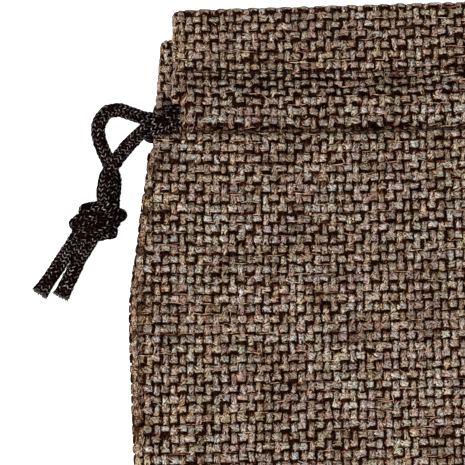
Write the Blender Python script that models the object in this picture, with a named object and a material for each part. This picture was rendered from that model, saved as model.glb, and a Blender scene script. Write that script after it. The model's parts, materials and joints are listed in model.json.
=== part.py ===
"""A small drawstring pouch of coarse plain-woven cloth, lying flat and empty on its back.

Frame: +X across the pouch, +Y towards its mouth, +Z up from the surface that it lies on.
The origin is on that surface, under the middle of the pouch.

Each panel is one strip of cloth of even thickness. It is turned under along its sides and
bottom, where it is sewn to the other panel, and its top is folded in to make the heading
and the channel. Two drawcords run through both channels, one knotted on each side.
"""
import math

import bmesh
import bpy
import numpy as np
from mathutils import Matrix, Vector

MM = 0.001

# Driving sizes, in millimetres.
BAG_WIDTH = 90.0
BAG_HEIGHT = 120.0
CLOTH = 1.1  # thickness of the cloth
CORD = 2.3  # diameter of the drawcords
GAP = 0.3  # between pieces that touch
FOLD = 1.6  # between the middles of the two layers of a fold
FOOT_RADIUS = 4.5  # of the pouch's lower corners
TURNING = 2.5  # width of the turned-under edge past its roll
SAG = 1.2  # how far the sewn lines dip between the sides
COLUMNS = 16  # of faces across a panel

TOP = BAG_HEIGHT / 2
BOTTOM = -BAG_HEIGHT / 2
ROLL = FOLD / 2
EDGE = ROLL + CLOTH / 2  # from a rolled edge's outside to where its roll starts
SLIT = 35.2  # the side seams end here, and the slits for the cords begin

# Heights of the middle of each layer where no cord lifts it.
BACK_OUTER = CLOTH / 2
BACK_HEM = BACK_OUTER + FOLD
FRONT_HEM = BACK_HEM + CLOTH + GAP
FRONT_OUTER = FRONT_HEM + FOLD
LIFT = CORD + CLOTH + 2 * GAP - FOLD  # how far a cord opens a fold

# Half width of the outline at each height, read from the bottom up.
FRONT_SIDE = (
    # (y, half width)
    (BOTTOM, 44.8),
    (-20.0, 44.9),
    (0.0, 45.0),
    (8.0, 44.9),
    (12.0, 44.4),
    (19.0, 43.2),
    (25.0, 42.3),
    (31.0, 41.2),
    (SLIT, 40.7),
    (36.0, 40.1),
    (37.4, 39.7),
    (37.9, 39.4),
    (38.4, 34.9),
    (44.6, 34.9),
    (45.2, 36.5),
    (49.0, 36.2),
    (TOP, 36.0),
)
BACK_SIDE = (
    # (y, half width)
    (BOTTOM, 44.8),
    (-20.0, 44.9),
    (0.0, 45.0),
    (8.0, 44.9),
    (12.0, 44.4),
    (19.0, 43.2),
    (25.0, 42.3),
    (31.0, 41.2),
    (SLIT, 40.7),
    (36.0, 40.1),
    (41.0, 39.6),
    (46.0, 38.9),
    (55.0, 38.3),
)
FRONT_HEM_SIDE = ((36.0, 34.6), (44.7, 34.6), (45.6, 35.6), (TOP, 35.8))
BACK_HEM_SIDE = ((34.0, 35.4), (45.0, 35.4), (47.0, 37.6), (55.0, 38.0))

# Rows of faces up each panel, from where the bottom's roll starts to where the top's starts.
FOOT_ROWS = (0.0, 30.0, 60.0, 90.0)  # degrees round a lower corner
BODY_ROWS = (-49.0, -42.0, -35.0, -28.0, -21.0, -14.0, -7.0, 0.0, 6.0, 12.0, 18.0, 24.0, 29.0, 32.5)
FRONT_ROWS = (SLIT, 36.4, 37.4, 37.9, 38.5, 39.2, 39.9, 41.4, 43.0, 44.5, 45.3, 46.3, 47.4, 48.8, 50.5, 54.0, 56.5)
BACK_ROWS = (SLIT, 38.0, 42.0, 46.0, 50.0)
FRONT_HEM_ROWS = (56.5, 54.0, 51.5, 49.5, 47.5, 45.5, 43.4, 41.0, 38.4, 36.9)
BACK_HEM_ROWS = (51.0, 48.5, 45.7, 44.9, 44.0, 43.1, 42.2, 40.0, 38.0, 37.3, 36.7, 36.1, 35.5, 34.4)
TOP_BACK = 55.0  # the back's heading stands a little lower than the front's

# Where the cords open each fold: it starts to open, is open, starts to close, is closed.
FRONT_CHANNEL = (38.0, 39.6, 44.9, 48.9)
BACK_CHANNEL = (35.6, 37.2, 42.7, 45.7)
FRONT_HEM_DROP = (43.8, 51.0)  # the front's hem comes down past the back's channel
HILL_START = (27.0, 8.0)  # y at the middle, and how much nearer the channel at the sides
GATHERS = (0.25, 17.0, 0.6)  # of the cloth over the front's cords: height, turns across, phase

# How the front lies below its channel.
CROWN = 0.35  # its rise next to the seams
SLACK = 0.55  # its fall towards the middle
WAVES = (0.16, 2.6, 0.05)  # height, and turns across and up the panel

# Heights of the cords' middles in the channels, and their rows.
FRONT_CORD_Z = FRONT_HEM + LIFT + CLOTH / 2 + GAP + CORD / 2
BACK_CORD_Z = BACK_OUTER + CLOTH / 2 + GAP + CORD / 2
LEFT_FRONT_Y = 43.4
RIGHT_FRONT_Y = 40.8
LEFT_BACK_Y = 41.3
RIGHT_BACK_Y = 38.7
CHANNEL_HALF = 34.8
CHANNEL_STEP = 8.7
CORD_STEP = 1.7  # between a tube's points where it bends
STRAIGHT_STRIDE = 5  # every fifth of those is kept in the channels
FLOOR_CORD_Z = CORD / 2 + 0.05

KNOT_CENTRE = (50.3, 23.2, 3.6)  # of the left knot, mirrored in X
RIGHT_KNOT_RISE = 0.8  # the right knot lies this much nearer the mouth
KNOT_STEP = 0.8  # between the points of its strands
KNOT_VOXEL = 0.75
KNOT_HEART = (3.9, 2.2, 2.4)  # half sizes of its middle, where the strands press together

# The middle of the doubled cord through the knot, from where it enters at the top to where
# its tails leave: under the front band, round behind, over the front, round behind again
# and out under the band. Spread is from there to each strand's middle.
KNOT_ROUTE = (
    # (x, y, z, spread)
    (2.2, 3.9, -0.1, 1.15),
    (2.0, 2.2, -0.1, 1.15),
    (1.6, 0.6, 0.0, 1.1),
    (1.7, -0.9, -0.2, 0.9),
    (2.6, -1.7, -0.7, 0.8),
    (2.7, -1.7, -1.5, 0.9),
    (1.0, -1.5, -1.9, 1.1),
    (-1.4, -1.3, -1.9, 1.15),
    (-3.3, -1.4, -1.2, 1.15),
    (-3.8, -1.3, 0.2, 1.15),
    (-2.9, -1.0, 1.5, 1.15),
    (-0.9, -0.2, 2.1, 1.15),
    (1.3, 0.6, 2.1, 1.15),
    (3.2, 1.0, 1.4, 1.15),
    (3.8, 1.1, 0.0, 1.15),
    (3.0, 1.2, -1.4, 1.1),
    (0.7, 1.4, -1.9, 1.1),
    (-1.5, 1.7, -1.6, 0.9),
    (-2.4, 1.7, -0.8, 0.8),
    (-2.2, 0.7, -0.1, 1.0),
    (-1.8, -0.7, 0.0, 1.15),
    (-2.0, -2.2, -0.3, 1.2),
    (-2.6, -3.4, -0.8, 1.3),
)
KNOT_LEVELLING = (0.8, 0.95)  # the share of the route where the strands come level again

# Routes of the cords outside the channels, hand-set from the knot to the slot.
LEFT_FRONT_ROUTE = (
    (-49.4, 27.7, 3.7),
    (-49.0, 29.5, 3.9),
    (-48.6, 31.2, 4.0),
    (-47.7, 32.9, 4.1),
    (-46.0, 35.6, 4.7),
    (-44.1, 37.9, 6.0),
    (-42.1, 39.6, 7.4),
    (-39.8, 41.4, 8.2),
    (-37.2, 42.8, 8.2),
)
LEFT_BACK_ROUTE = (
    (-46.9, 27.7, 3.1),
    (-46.9, 29.5, 2.1),
    (-47.2, 31.2, 1.5),
    (-47.8, 33.0, 1.3),
    (-48.8, 35.4, FLOOR_CORD_Z),
    (-49.7, 38.0, FLOOR_CORD_Z),
    (-49.7, 40.6, FLOOR_CORD_Z),
    (-48.3, 42.4, FLOOR_CORD_Z),
    (-46.2, 42.7, FLOOR_CORD_Z),
    (-43.8, 41.8, 1.5),
    (-41.6, 41.0, 2.3),
    (-38.6, 41.0, BACK_CORD_Z),
)
# The other cord's closed end on the left, from the front slot to the back one.
RIGHT_BIGHT = (
    (-37.0, 40.2, 7.3),
    (-39.2, 39.5, 6.3),
    (-40.6, 38.8, 5.0),
    (-40.7, 38.1, 3.8),
    (-39.5, 37.9, 2.8),
    (-37.4, 38.4, BACK_CORD_Z),
)
# The right side, out of the same moves, with its knot a little higher.
RIGHT_FRONT_ROUTE = (
    (49.4, 28.5, 3.7),
    (49.0, 30.3, 3.9),
    (48.4, 32.0, 4.0),
    (47.3, 33.7, 4.1),
    (45.6, 35.8, 4.5),
    (43.7, 37.5, 5.3),
    (41.8, 38.8, 6.5),
    (39.7, 39.9, 7.5),
    (37.2, 40.6, 7.95),
)
RIGHT_BACK_ROUTE = (
    (46.9, 28.5, 3.1),
    (46.9, 30.3, 2.1),
    (47.1, 32.0, 1.5),
    (47.7, 33.9, 1.3),
    (48.7, 36.2, FLOOR_CORD_Z),
    (49.6, 38.6, FLOOR_CORD_Z),
    (49.5, 41.0, FLOOR_CORD_Z),
    (48.1, 42.6, FLOOR_CORD_Z),
    (46.2, 42.7, FLOOR_CORD_Z),
    (44.1, 41.6, 1.4),
    (41.9, 40.1, 2.2),
    (38.6, 39.0, BACK_CORD_Z),
)
LEFT_BIGHT = (
    (37.0, 43.3, 7.9),
    (39.1, 43.1, 7.3),
    (40.6, 42.8, 5.9),
    (40.7, 42.3, 4.3),
    (39.6, 41.8, 3.0),
    (37.4, 41.4, BACK_CORD_Z),
)
# Where each tail runs after the knot, from its outlet to its free end.
LEFT_TAILS = (
    ((-54.4, 19.8, 2.6), (-55.8, 17.6, 1.6), (-57.8, 14.4, FLOOR_CORD_Z), (-60.0, 11.2, FLOOR_CORD_Z)),
    ((-52.0, 18.6, 2.6), (-53.2, 16.4, 1.6), (-55.0, 13.3, FLOOR_CORD_Z), (-56.9, 10.5, FLOOR_CORD_Z)),
)
RIGHT_TAILS = (
    ((54.4, 20.6, 2.6), (55.8, 18.4, 1.6), (57.2, 15.0, FLOOR_CORD_Z), (58.0, 11.6, FLOOR_CORD_Z)),
    ((52.0, 19.4, 2.6), (53.0, 17.2, 1.6), (53.7, 14.4, FLOOR_CORD_Z), (53.9, 11.9, FLOOR_CORD_Z)),
)

CLOTH_LOOK = ("woven_cloth", (0.27, 0.19, 0.125, 1.0), 0.9)
CORD_LOOK = ("braided_cord", (0.035, 0.022, 0.02, 1.0), 0.6)


def clear_scene():
    for item in list(bpy.data.objects):
        bpy.data.objects.remove(item, do_unlink=True)


def material(look):
    name, colour, roughness = look
    made = bpy.data.materials.get(name) or bpy.data.materials.new(name)
    made.use_nodes = True
    shader = made.node_tree.nodes["Principled BSDF"]
    shader.inputs["Base Color"].default_value = colour
    shader.inputs["Roughness"].default_value = roughness
    shader.inputs["Metallic"].default_value = 0.0
    return made


def ease(start, end, value):
    """0 up to start, 1 from end, and a smooth step between them."""
    share = min(1.0, max(0.0, (value - start) / (end - start)))
    return share * share * (3.0 - 2.0 * share)


def opening(channel, y):
    """How far a channel is open at y, from 0 at its sewn lines to 1 over its cords."""
    opens, open_at, closes, closed_at = channel
    return ease(opens, open_at, y) * (1.0 - ease(closes, closed_at, y))


def dip(y):
    """How far the row at y dips at the pouch's middle."""
    return SAG * ease(-25.0, 20.0, y) * (1.0 - ease(50.0, 57.0, y))


def half_width(side, y):
    table = np.array(side)
    return float(np.interp(y, table[:, 0], table[:, 1]))


def sheet_half_width(side, y):
    """Half width of the flat of a panel: up to its roll, or to its edge above the slits."""
    if y > SLIT:
        return half_width(side, y)
    radius = FOOT_RADIUS - EDGE
    up = min(radius, y - (BOTTOM + EDGE))
    return half_width(side, y) - EDGE - radius + math.sqrt(max(0.0, radius**2 - (radius - up) ** 2))


def back_outer_z(across, y):
    return BACK_OUTER


def back_hem_z(across, y):
    return BACK_HEM + LIFT * opening(BACK_CHANNEL, y)


def front_hem_z(across, y):
    return FRONT_HEM + LIFT * (1.0 - ease(*FRONT_HEM_DROP, y))


def body_z(across, y):
    """The front below its channel: crowned near its edges, slack in the middle, uneven."""
    from_side = 1.0 - abs(across)
    from_foot = (y - BOTTOM) / BAG_WIDTH * 2.0
    crown = CROWN * ease(0.0, 0.12, from_side) * ease(0.0, 0.12, from_foot)
    slack = SLACK * ease(0.15, 0.9, from_side) * ease(0.1, 0.7, from_foot)
    height, turns_across, turns_up = WAVES
    inside = ease(0.0, 0.3, from_side) * ease(0.0, 0.3, from_foot)
    waves = height * math.sin(turns_across * across + turns_up * y) * inside
    return FRONT_OUTER + crown - slack + waves


def front_outer_z(across, y):
    if y >= FRONT_CHANNEL[0]:
        height, turns, phase = GATHERS
        gathers = height * (1.0 + math.sin(turns * across + phase))
        return front_hem_z(across, y) + FOLD + (LIFT + gathers) * opening(FRONT_CHANNEL, y)
    centre, nearer = HILL_START
    rise = ease(centre + nearer * abs(across) ** 3, FRONT_CHANNEL[0], y)
    at_channel = FRONT_HEM + LIFT + FOLD
    return body_z(across, y) * (1.0 - rise) + at_channel * rise


class Sheet:
    """The middle surface of a piece of cloth, which thickened() turns into a solid."""

    def __init__(self):
        self.mesh = bmesh.new()

    def row(self, points):
        return [self.mesh.verts.new(Vector(p)) for p in points]

    def join(self, first, second):
        for a, b, c, d in zip(first, first[1:], second[1:], second):
            self.mesh.faces.new((a, b, c, d))

    def thickened(self, thickness):
        """A closed solid of even thickness round the sheet."""
        self.mesh.normal_update()
        solid = bmesh.new()
        shells = []
        for side in (0.5, -0.5):
            places = [v.co + v.normal * side * thickness for v in self.mesh.verts]
            shells.append([solid.verts.new(p) for p in places])
        self.mesh.verts.index_update()
        for face in self.mesh.faces:
            corners = [v.index for v in face.verts]
            solid.faces.new([shells[0][i] for i in corners])
            solid.faces.new([shells[1][i] for i in reversed(corners)])
        for edge in self.mesh.edges:
            if edge.is_boundary:
                loop = edge.link_loops[0]
                a, b = loop.vert.index, loop.link_loop_next.vert.index
                solid.faces.new((shells[0][b], shells[0][a], shells[1][a], shells[1][b]))
        bmesh.ops.triangulate(solid, faces=solid.faces)
        return solid


def row_points(side_width, y, height):
    """Points across a panel at y, with the row's dip and the surface's height."""
    points = []
    for column in range(COLUMNS + 1):
        across = 2.0 * column / COLUMNS - 1.0
        points.append((across * side_width, y - dip(y) * (1.0 - across**2), height(across, y)))
    return points


def edge_path(rows, slit_row):
    """The flat's edge from the left slit round the bottom to the right slit."""
    left = [row[0] for row in reversed(rows[: slit_row + 1])]
    right = [row[-1] for row in rows[1 : slit_row + 1]]
    return left + rows[0][1:] + right


def outward(path):
    """The level direction out of the pouch at each point of its edge."""
    ways = []
    for k, vert in enumerate(path):
        before = path[max(k - 1, 0)].co
        after = path[min(k + 1, len(path) - 1)].co
        along = (after - before).to_2d().normalized()
        ways.append(Vector((along.y, -along.x, 0.0)))
    return ways


def turned_edge(sheet, path, facing):
    """Rolls the sheet's edge under, away from its face, and runs it back as the turning."""
    ways = outward(path)
    starts = [v.co.copy() for v in path]
    ring = path
    for angle in (45.0, 90.0, 135.0, 180.0):
        out = ROLL * math.sin(math.radians(angle))
        down = ROLL * (1.0 - math.cos(math.radians(angle))) * facing
        points = [p + way * out - Vector((0.0, 0.0, down)) for p, way in zip(starts, ways)]
        following = sheet.row(points)
        sheet.join(following, ring)
        ring = following
    back = [p - way * TURNING - Vector((0.0, 0.0, 2.0 * ROLL * facing)) for p, way in zip(starts, ways)]
    sheet.join(sheet.row(back), ring)


def folded_top(sheet, top_row, hem_rows, hem_side, hem_z, facing):
    """Rolls the top over and runs it down inside the pouch as the heading and channel."""
    ring = top_row
    starts = [v.co.copy() for v in top_row]
    for angle in (45.0, 90.0, 135.0):
        up = ROLL * math.sin(math.radians(angle))
        down = ROLL * (1.0 - math.cos(math.radians(angle))) * facing
        following = sheet.row([p + Vector((0.0, up, -down)) for p in starts])
        sheet.join(ring, following)
        ring = following
    for y in (starts[0].y,) + tuple(hem_rows):
        following = sheet.row(row_points(half_width(hem_side, y), y, hem_z))
        sheet.join(ring, following)
        ring = following


def panel(name, side, upper_rows, top, heights, hem, facing):
    """One panel of the pouch: its face, its turned edges and its folded top."""
    outer_z, hem_z = heights
    hem_side, hem_rows = hem
    radius = FOOT_RADIUS - EDGE
    foot = [BOTTOM + EDGE + radius * (1.0 - math.cos(math.radians(a))) for a in FOOT_ROWS]
    levels = foot + list(BODY_ROWS) + list(upper_rows) + [top - EDGE]
    sheet = Sheet()
    rows = [sheet.row(row_points(sheet_half_width(side, y), y, outer_z)) for y in levels]
    for lower, upper in zip(rows, rows[1:]):
        sheet.join(lower, upper)
    turned_edge(sheet, edge_path(rows, levels.index(SLIT)), facing)
    folded_top(sheet, rows[-1], hem_rows, hem_side, hem_z, facing)
    return finished(name, sheet.thickened(CLOTH), CLOTH_LOOK)


def finished(name, solid, look):
    """An object in metres from a bmesh in millimetres."""
    bmesh.ops.transform(solid, matrix=Matrix.Scale(MM, 4), verts=solid.verts)
    mesh = bpy.data.meshes.new(name)
    solid.to_mesh(mesh)
    solid.free()
    mesh.shade_smooth()
    mesh.set_sharp_from_angle(angle=math.radians(50.0))
    mesh.materials.append(material(look))
    made = bpy.data.objects.new(name, mesh)
    bpy.context.scene.collection.objects.link(made)
    return made


def smooth_line(points, step):
    """Points about a step apart on a smooth curve through the given ones."""
    knots = [Vector(p) for p in points]
    knots = [knots[0] * 2.0 - knots[1]] + knots + [knots[-1] * 2.0 - knots[-2]]
    line = [knots[1]]
    for a, b, c, d in zip(knots, knots[1:], knots[2:], knots[3:]):
        pieces = max(1, round((c - b).length / step))
        for k in range(1, pieces + 1):
            t = k / pieces
            swing = (2.0 * a - 5.0 * b + 4.0 * c - d) * t**2 + (3.0 * b - a - 3.0 * c + d) * t**3
            line.append(0.5 * (2.0 * b + (c - a) * t + swing))
    return line


def channel_run(start, end, y, z):
    """Points along a channel from X = start to X = end, on the row's dip."""
    count = round(abs(end - start) / CHANNEL_STEP)
    points = []
    for k in range(count + 1):
        x = start + (end - start) * k / count
        points.append((x, y - SAG * (1.0 - (x / CHANNEL_HALF) ** 2), z))
    return points


def cord_object(name, line):
    """A plain round tube with flat ends along a line."""
    curve = bpy.data.curves.new(name, "CURVE")
    curve.dimensions = "3D"
    curve.bevel_depth = CORD / 2 * MM
    curve.bevel_resolution = 2
    curve.use_fill_caps = True
    spline = curve.splines.new("POLY")
    spline.points.add(len(line) - 1)
    for point, place in zip(spline.points, line):
        point.co = (*(Vector(place) * MM), 1.0)
    curve.materials.append(material(CORD_LOOK))
    made = bpy.data.objects.new(name, curve)
    bpy.context.scene.collection.objects.link(made)
    return made


def drawcord(name, front_route, back_route, bight, rows):
    """A drawcord from its knot through the front channel, round the far side and back."""
    front_y, back_y = rows
    near = math.copysign(CHANNEL_HALF, front_route[0][0])
    route = list(front_route) + channel_run(near, -near, front_y, FRONT_CORD_Z) + list(bight)
    route += channel_run(-near, near, back_y, BACK_CORD_Z) + list(reversed(back_route))
    line = smooth_line(route, CORD_STEP)
    inside = [abs(p.x) < CHANNEL_HALF for p in line]
    kept = [p for k, p in enumerate(line) if not inside[k] or k % STRAIGHT_STRIDE == 0]
    return cord_object(name, kept)


def knot_strands():
    """The two strands of the knot, side by side along its route."""
    line = smooth_line([row[:3] for row in KNOT_ROUTE], KNOT_STEP)
    places = np.linspace(0.0, len(KNOT_ROUTE) - 1, len(line))
    spreads = np.interp(places, range(len(KNOT_ROUTE)), [row[3] for row in KNOT_ROUTE])
    beside = Vector((1.0, 0.0, 0.0))
    strands = ([], [])
    for k, place in enumerate(line):
        along = (line[min(k + 1, len(line) - 1)] - line[max(k - 1, 0)]).normalized()
        level = Vector((-along.y, along.x, 0.0)).normalized()
        beside = beside.lerp(level, ease(*KNOT_LEVELLING, k / len(line)))
        beside = (beside - along * beside.dot(along)).normalized()
        strands[0].append(place + beside * float(spreads[k]))
        strands[1].append(place - beside * float(spreads[k]))
    return strands


def tube_into(solid, line, radius, sides=10):
    """Adds a closed tube to a bmesh."""
    before = None
    upright = Vector((0.0, 0.0, 1.0))
    for k, place in enumerate(line):
        along = (line[min(k + 1, len(line) - 1)] - line[max(k - 1, 0)]).normalized()
        upright = (upright - along * upright.dot(along)).normalized()
        aside = along.cross(upright)
        turns = [2.0 * math.pi * s / sides for s in range(sides)]
        ring = [solid.verts.new(place + (upright * math.cos(t) + aside * math.sin(t)) * radius) for t in turns]
        if before:
            for s in range(sides):
                after = (s + 1) % sides
                solid.faces.new((before[s], before[after], ring[after], ring[s]))
        else:
            solid.faces.new(ring)
        before = ring
    solid.faces.new(list(reversed(before)))


def knot(name, centre, mirrored):
    """The pulled-tight overhand knot of the doubled cord, its strands grown into one lump."""
    solid = bmesh.new()
    for strand in knot_strands():
        tube_into(solid, strand, CORD / 2)
    heart = Matrix.Diagonal((*KNOT_HEART, 1.0))
    bmesh.ops.create_icosphere(solid, subdivisions=2, radius=1.0, matrix=heart)
    if mirrored:
        bmesh.ops.scale(solid, vec=(-1.0, 1.0, 1.0), verts=solid.verts)
    bmesh.ops.translate(solid, vec=centre, verts=solid.verts)
    bmesh.ops.recalc_face_normals(solid, faces=solid.faces)
    made = finished(name, solid, CORD_LOOK)
    grown = made.modifiers.new("grown_together", "REMESH")
    grown.mode = "VOXEL"
    grown.voxel_size = KNOT_VOXEL * MM
    grown.use_smooth_shade = True
    return made


def main():
    clear_scene()
    front_heights = (front_outer_z, front_hem_z)
    back_heights = (back_outer_z, back_hem_z)
    panel("front_panel", FRONT_SIDE, FRONT_ROWS, TOP, front_heights, (FRONT_HEM_SIDE, FRONT_HEM_ROWS), 1.0)
    panel("back_panel", BACK_SIDE, BACK_ROWS, TOP_BACK, back_heights, (BACK_HEM_SIDE, BACK_HEM_ROWS), -1.0)
    drawcord("left_drawcord", LEFT_FRONT_ROUTE, LEFT_BACK_ROUTE, LEFT_BIGHT, (LEFT_FRONT_Y, LEFT_BACK_Y))
    drawcord("right_drawcord", RIGHT_FRONT_ROUTE, RIGHT_BACK_ROUTE, RIGHT_BIGHT, (RIGHT_FRONT_Y, RIGHT_BACK_Y))
    x, y, z = KNOT_CENTRE
    knot("left_knot", (-x, y, z), False)
    knot("right_knot", (x, y + RIGHT_KNOT_RISE, z), True)
    for side, tails in (("left", LEFT_TAILS), ("right", RIGHT_TAILS)):
        for number, tail in enumerate(tails, 1):
            cord_object(f"{side}_tail_{number}", smooth_line(tail, CORD_STEP))


main()
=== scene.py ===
"""The looks of a small burlap drawstring pouch that lies flat and empty.

Its cloth is built yarn by yarn and its cords strand by strand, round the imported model. Lengths
are in millimetres until a mesh is made. The frame is the model's: +X across the pouch, +Y
towards its mouth, +Z up from the surface that it lies on.
"""

import json
import math

import bpy
import numpy as np
from mathutils import Vector
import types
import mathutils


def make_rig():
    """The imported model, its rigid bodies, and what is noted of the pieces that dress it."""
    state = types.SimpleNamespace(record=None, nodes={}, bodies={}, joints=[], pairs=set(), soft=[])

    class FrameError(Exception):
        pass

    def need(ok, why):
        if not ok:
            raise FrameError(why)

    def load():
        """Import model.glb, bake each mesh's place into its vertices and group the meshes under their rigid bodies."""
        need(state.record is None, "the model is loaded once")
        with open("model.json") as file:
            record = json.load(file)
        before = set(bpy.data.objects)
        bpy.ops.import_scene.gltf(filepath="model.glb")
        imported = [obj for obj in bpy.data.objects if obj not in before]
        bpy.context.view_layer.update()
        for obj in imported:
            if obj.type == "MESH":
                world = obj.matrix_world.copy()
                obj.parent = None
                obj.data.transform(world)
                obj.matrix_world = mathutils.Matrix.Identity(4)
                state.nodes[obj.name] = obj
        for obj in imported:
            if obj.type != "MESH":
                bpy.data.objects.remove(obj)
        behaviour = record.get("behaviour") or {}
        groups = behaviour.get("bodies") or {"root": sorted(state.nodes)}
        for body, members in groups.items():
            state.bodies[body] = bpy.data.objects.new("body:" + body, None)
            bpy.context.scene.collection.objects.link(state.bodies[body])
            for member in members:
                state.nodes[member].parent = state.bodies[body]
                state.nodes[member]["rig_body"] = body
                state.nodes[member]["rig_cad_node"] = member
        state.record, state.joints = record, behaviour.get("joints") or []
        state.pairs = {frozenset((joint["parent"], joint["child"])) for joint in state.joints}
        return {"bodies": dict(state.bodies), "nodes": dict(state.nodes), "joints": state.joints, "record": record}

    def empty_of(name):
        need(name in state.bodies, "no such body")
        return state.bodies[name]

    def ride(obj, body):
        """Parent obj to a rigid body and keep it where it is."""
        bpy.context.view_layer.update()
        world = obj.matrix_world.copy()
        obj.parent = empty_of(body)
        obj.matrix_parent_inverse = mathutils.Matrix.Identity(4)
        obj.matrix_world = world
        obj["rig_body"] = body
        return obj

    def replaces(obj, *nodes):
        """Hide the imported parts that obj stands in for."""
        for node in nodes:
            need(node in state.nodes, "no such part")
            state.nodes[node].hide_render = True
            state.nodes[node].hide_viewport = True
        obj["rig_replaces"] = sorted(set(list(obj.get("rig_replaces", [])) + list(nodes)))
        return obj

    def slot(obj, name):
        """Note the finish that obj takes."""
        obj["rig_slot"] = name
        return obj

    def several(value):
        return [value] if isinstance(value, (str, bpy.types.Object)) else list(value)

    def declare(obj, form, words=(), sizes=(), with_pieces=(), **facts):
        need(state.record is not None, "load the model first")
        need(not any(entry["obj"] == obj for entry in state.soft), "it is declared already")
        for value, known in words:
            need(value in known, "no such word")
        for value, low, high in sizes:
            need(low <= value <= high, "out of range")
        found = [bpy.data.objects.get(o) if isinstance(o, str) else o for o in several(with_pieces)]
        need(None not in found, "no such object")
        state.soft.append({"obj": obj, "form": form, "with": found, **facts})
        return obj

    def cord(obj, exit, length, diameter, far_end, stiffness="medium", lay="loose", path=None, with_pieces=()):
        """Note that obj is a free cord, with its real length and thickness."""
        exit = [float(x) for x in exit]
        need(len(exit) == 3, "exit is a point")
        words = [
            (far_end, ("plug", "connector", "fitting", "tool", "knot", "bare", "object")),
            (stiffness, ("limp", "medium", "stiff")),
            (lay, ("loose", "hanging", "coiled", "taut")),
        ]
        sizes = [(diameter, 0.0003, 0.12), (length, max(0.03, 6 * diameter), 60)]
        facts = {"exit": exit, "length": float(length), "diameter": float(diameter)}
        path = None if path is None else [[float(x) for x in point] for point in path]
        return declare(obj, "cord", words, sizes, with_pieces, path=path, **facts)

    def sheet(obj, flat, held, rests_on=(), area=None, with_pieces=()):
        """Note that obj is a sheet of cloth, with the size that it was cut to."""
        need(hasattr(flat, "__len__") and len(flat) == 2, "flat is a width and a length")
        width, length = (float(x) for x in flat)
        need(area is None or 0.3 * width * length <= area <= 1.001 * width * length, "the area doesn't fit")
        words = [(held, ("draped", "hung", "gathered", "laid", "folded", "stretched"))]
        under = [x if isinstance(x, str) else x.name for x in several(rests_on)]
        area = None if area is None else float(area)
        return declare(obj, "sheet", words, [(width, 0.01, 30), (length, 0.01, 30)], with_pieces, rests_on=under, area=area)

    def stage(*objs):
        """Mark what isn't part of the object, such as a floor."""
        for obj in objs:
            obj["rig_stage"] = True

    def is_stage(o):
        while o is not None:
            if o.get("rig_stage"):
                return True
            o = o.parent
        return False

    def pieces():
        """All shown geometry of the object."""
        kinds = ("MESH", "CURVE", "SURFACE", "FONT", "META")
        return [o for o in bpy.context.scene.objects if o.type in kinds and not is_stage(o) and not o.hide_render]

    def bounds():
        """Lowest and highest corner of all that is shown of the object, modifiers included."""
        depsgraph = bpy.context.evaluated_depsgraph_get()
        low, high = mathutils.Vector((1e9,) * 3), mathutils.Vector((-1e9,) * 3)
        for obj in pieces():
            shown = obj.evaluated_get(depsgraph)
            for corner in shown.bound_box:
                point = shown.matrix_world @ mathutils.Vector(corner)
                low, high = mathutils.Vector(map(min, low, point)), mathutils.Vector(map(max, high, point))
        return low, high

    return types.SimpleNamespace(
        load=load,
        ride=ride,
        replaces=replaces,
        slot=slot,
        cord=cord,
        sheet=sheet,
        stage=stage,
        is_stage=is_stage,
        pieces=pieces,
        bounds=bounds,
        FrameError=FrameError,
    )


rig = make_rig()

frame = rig.load()
cad_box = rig.bounds()

MM = 0.001
IMAGE_SIDE = 465  # pixels, of the photograph and of the render
PIXEL = 0.176  # millimetres on the pouch

# The pouch's sizes, from the part's source. Its sides above the slits and its front channel
# are fitted to the photograph.
BAG_HEIGHT = 120.0
CLOTH = 1.1
CORD = 2.3
GAP = 0.3
FOLD = 1.6
FOOT_RADIUS = 4.5
SAG = 1.2
SLIT = 35.2
TOP = BAG_HEIGHT / 2
BOTTOM = -BAG_HEIGHT / 2
TOP_BACK = 55.0
ROLL = FOLD / 2
EDGE = ROLL + CLOTH / 2
BACK_OUTER = CLOTH / 2
BACK_HEM = BACK_OUTER + FOLD
FRONT_HEM = BACK_HEM + CLOTH + GAP
FRONT_OUTER = FRONT_HEM + FOLD
LIFT = CORD + CLOTH + 2 * GAP - FOLD
LOWER_SIDE = (
    # (y, half width)
    (BOTTOM, 44.8),
    (-20.0, 44.9),
    (0.0, 45.0),
    (8.0, 44.9),
    (12.0, 44.4),
    (19.0, 43.2),
    (25.0, 42.3),
    (31.0, 41.2),
    (SLIT, 40.7),
    (36.0, 40.1),
)
FRONT_SIDE = LOWER_SIDE + (
    # on past the slot
    (37.4, 39.7),
    (37.9, 39.4),
    (38.4, 34.9),
    (43.5, 34.9),
    (44.1, 36.6),
    (49.0, 36.2),
    (TOP, 36.0),
)
BACK_SIDE = LOWER_SIDE + ((41.0, 40.1), (43.5, 39.7), (46.0, 39.2), (50.0, 38.8), (TOP_BACK, 38.3))
FRONT_CHANNEL = (38.6, 40.6, 43.9, 49.4)  # y where it rises, is open, drops and is closed
BACK_CHANNEL = (35.6, 37.2, 42.7, 45.7)
FRONT_HEM_DROP = (43.8, 51.0)
FRONT_HEM_SEEN = (51.0, 37.5)  # the least y seen of the hem, at its middle and at its ends
BACK_HEM_SEEN = (50.0, 35.0)
HEM_ENDS = 30.0
HILL_START = (27.0, 8.0)
GATHERS = (0.25, 17.0, 0.6)  # height, turns across and phase
WAVES = (0.16, 2.6, 0.05)  # height, turns across and turns up
FURROWS = (0.5, 0.7, 0.12, 0.5)  # depth and width, along the lower and the upper stitches
CROWN = 0.35
SLACK = 0.55
TOP_RISE = 0.2
FRONT_CORD_Z = FRONT_HEM + LIFT + CLOTH / 2 + GAP + CORD / 2
BACK_CORD_Z = BACK_OUTER + CLOTH / 2 + GAP + CORD / 2
CHANNEL_HALF = 34.8
CHANNEL_STEP = 8.7
SLOT_OVERLAP = 3.0  # how far each strand starts inside its slot
CORD_STEP = 1.7
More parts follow.
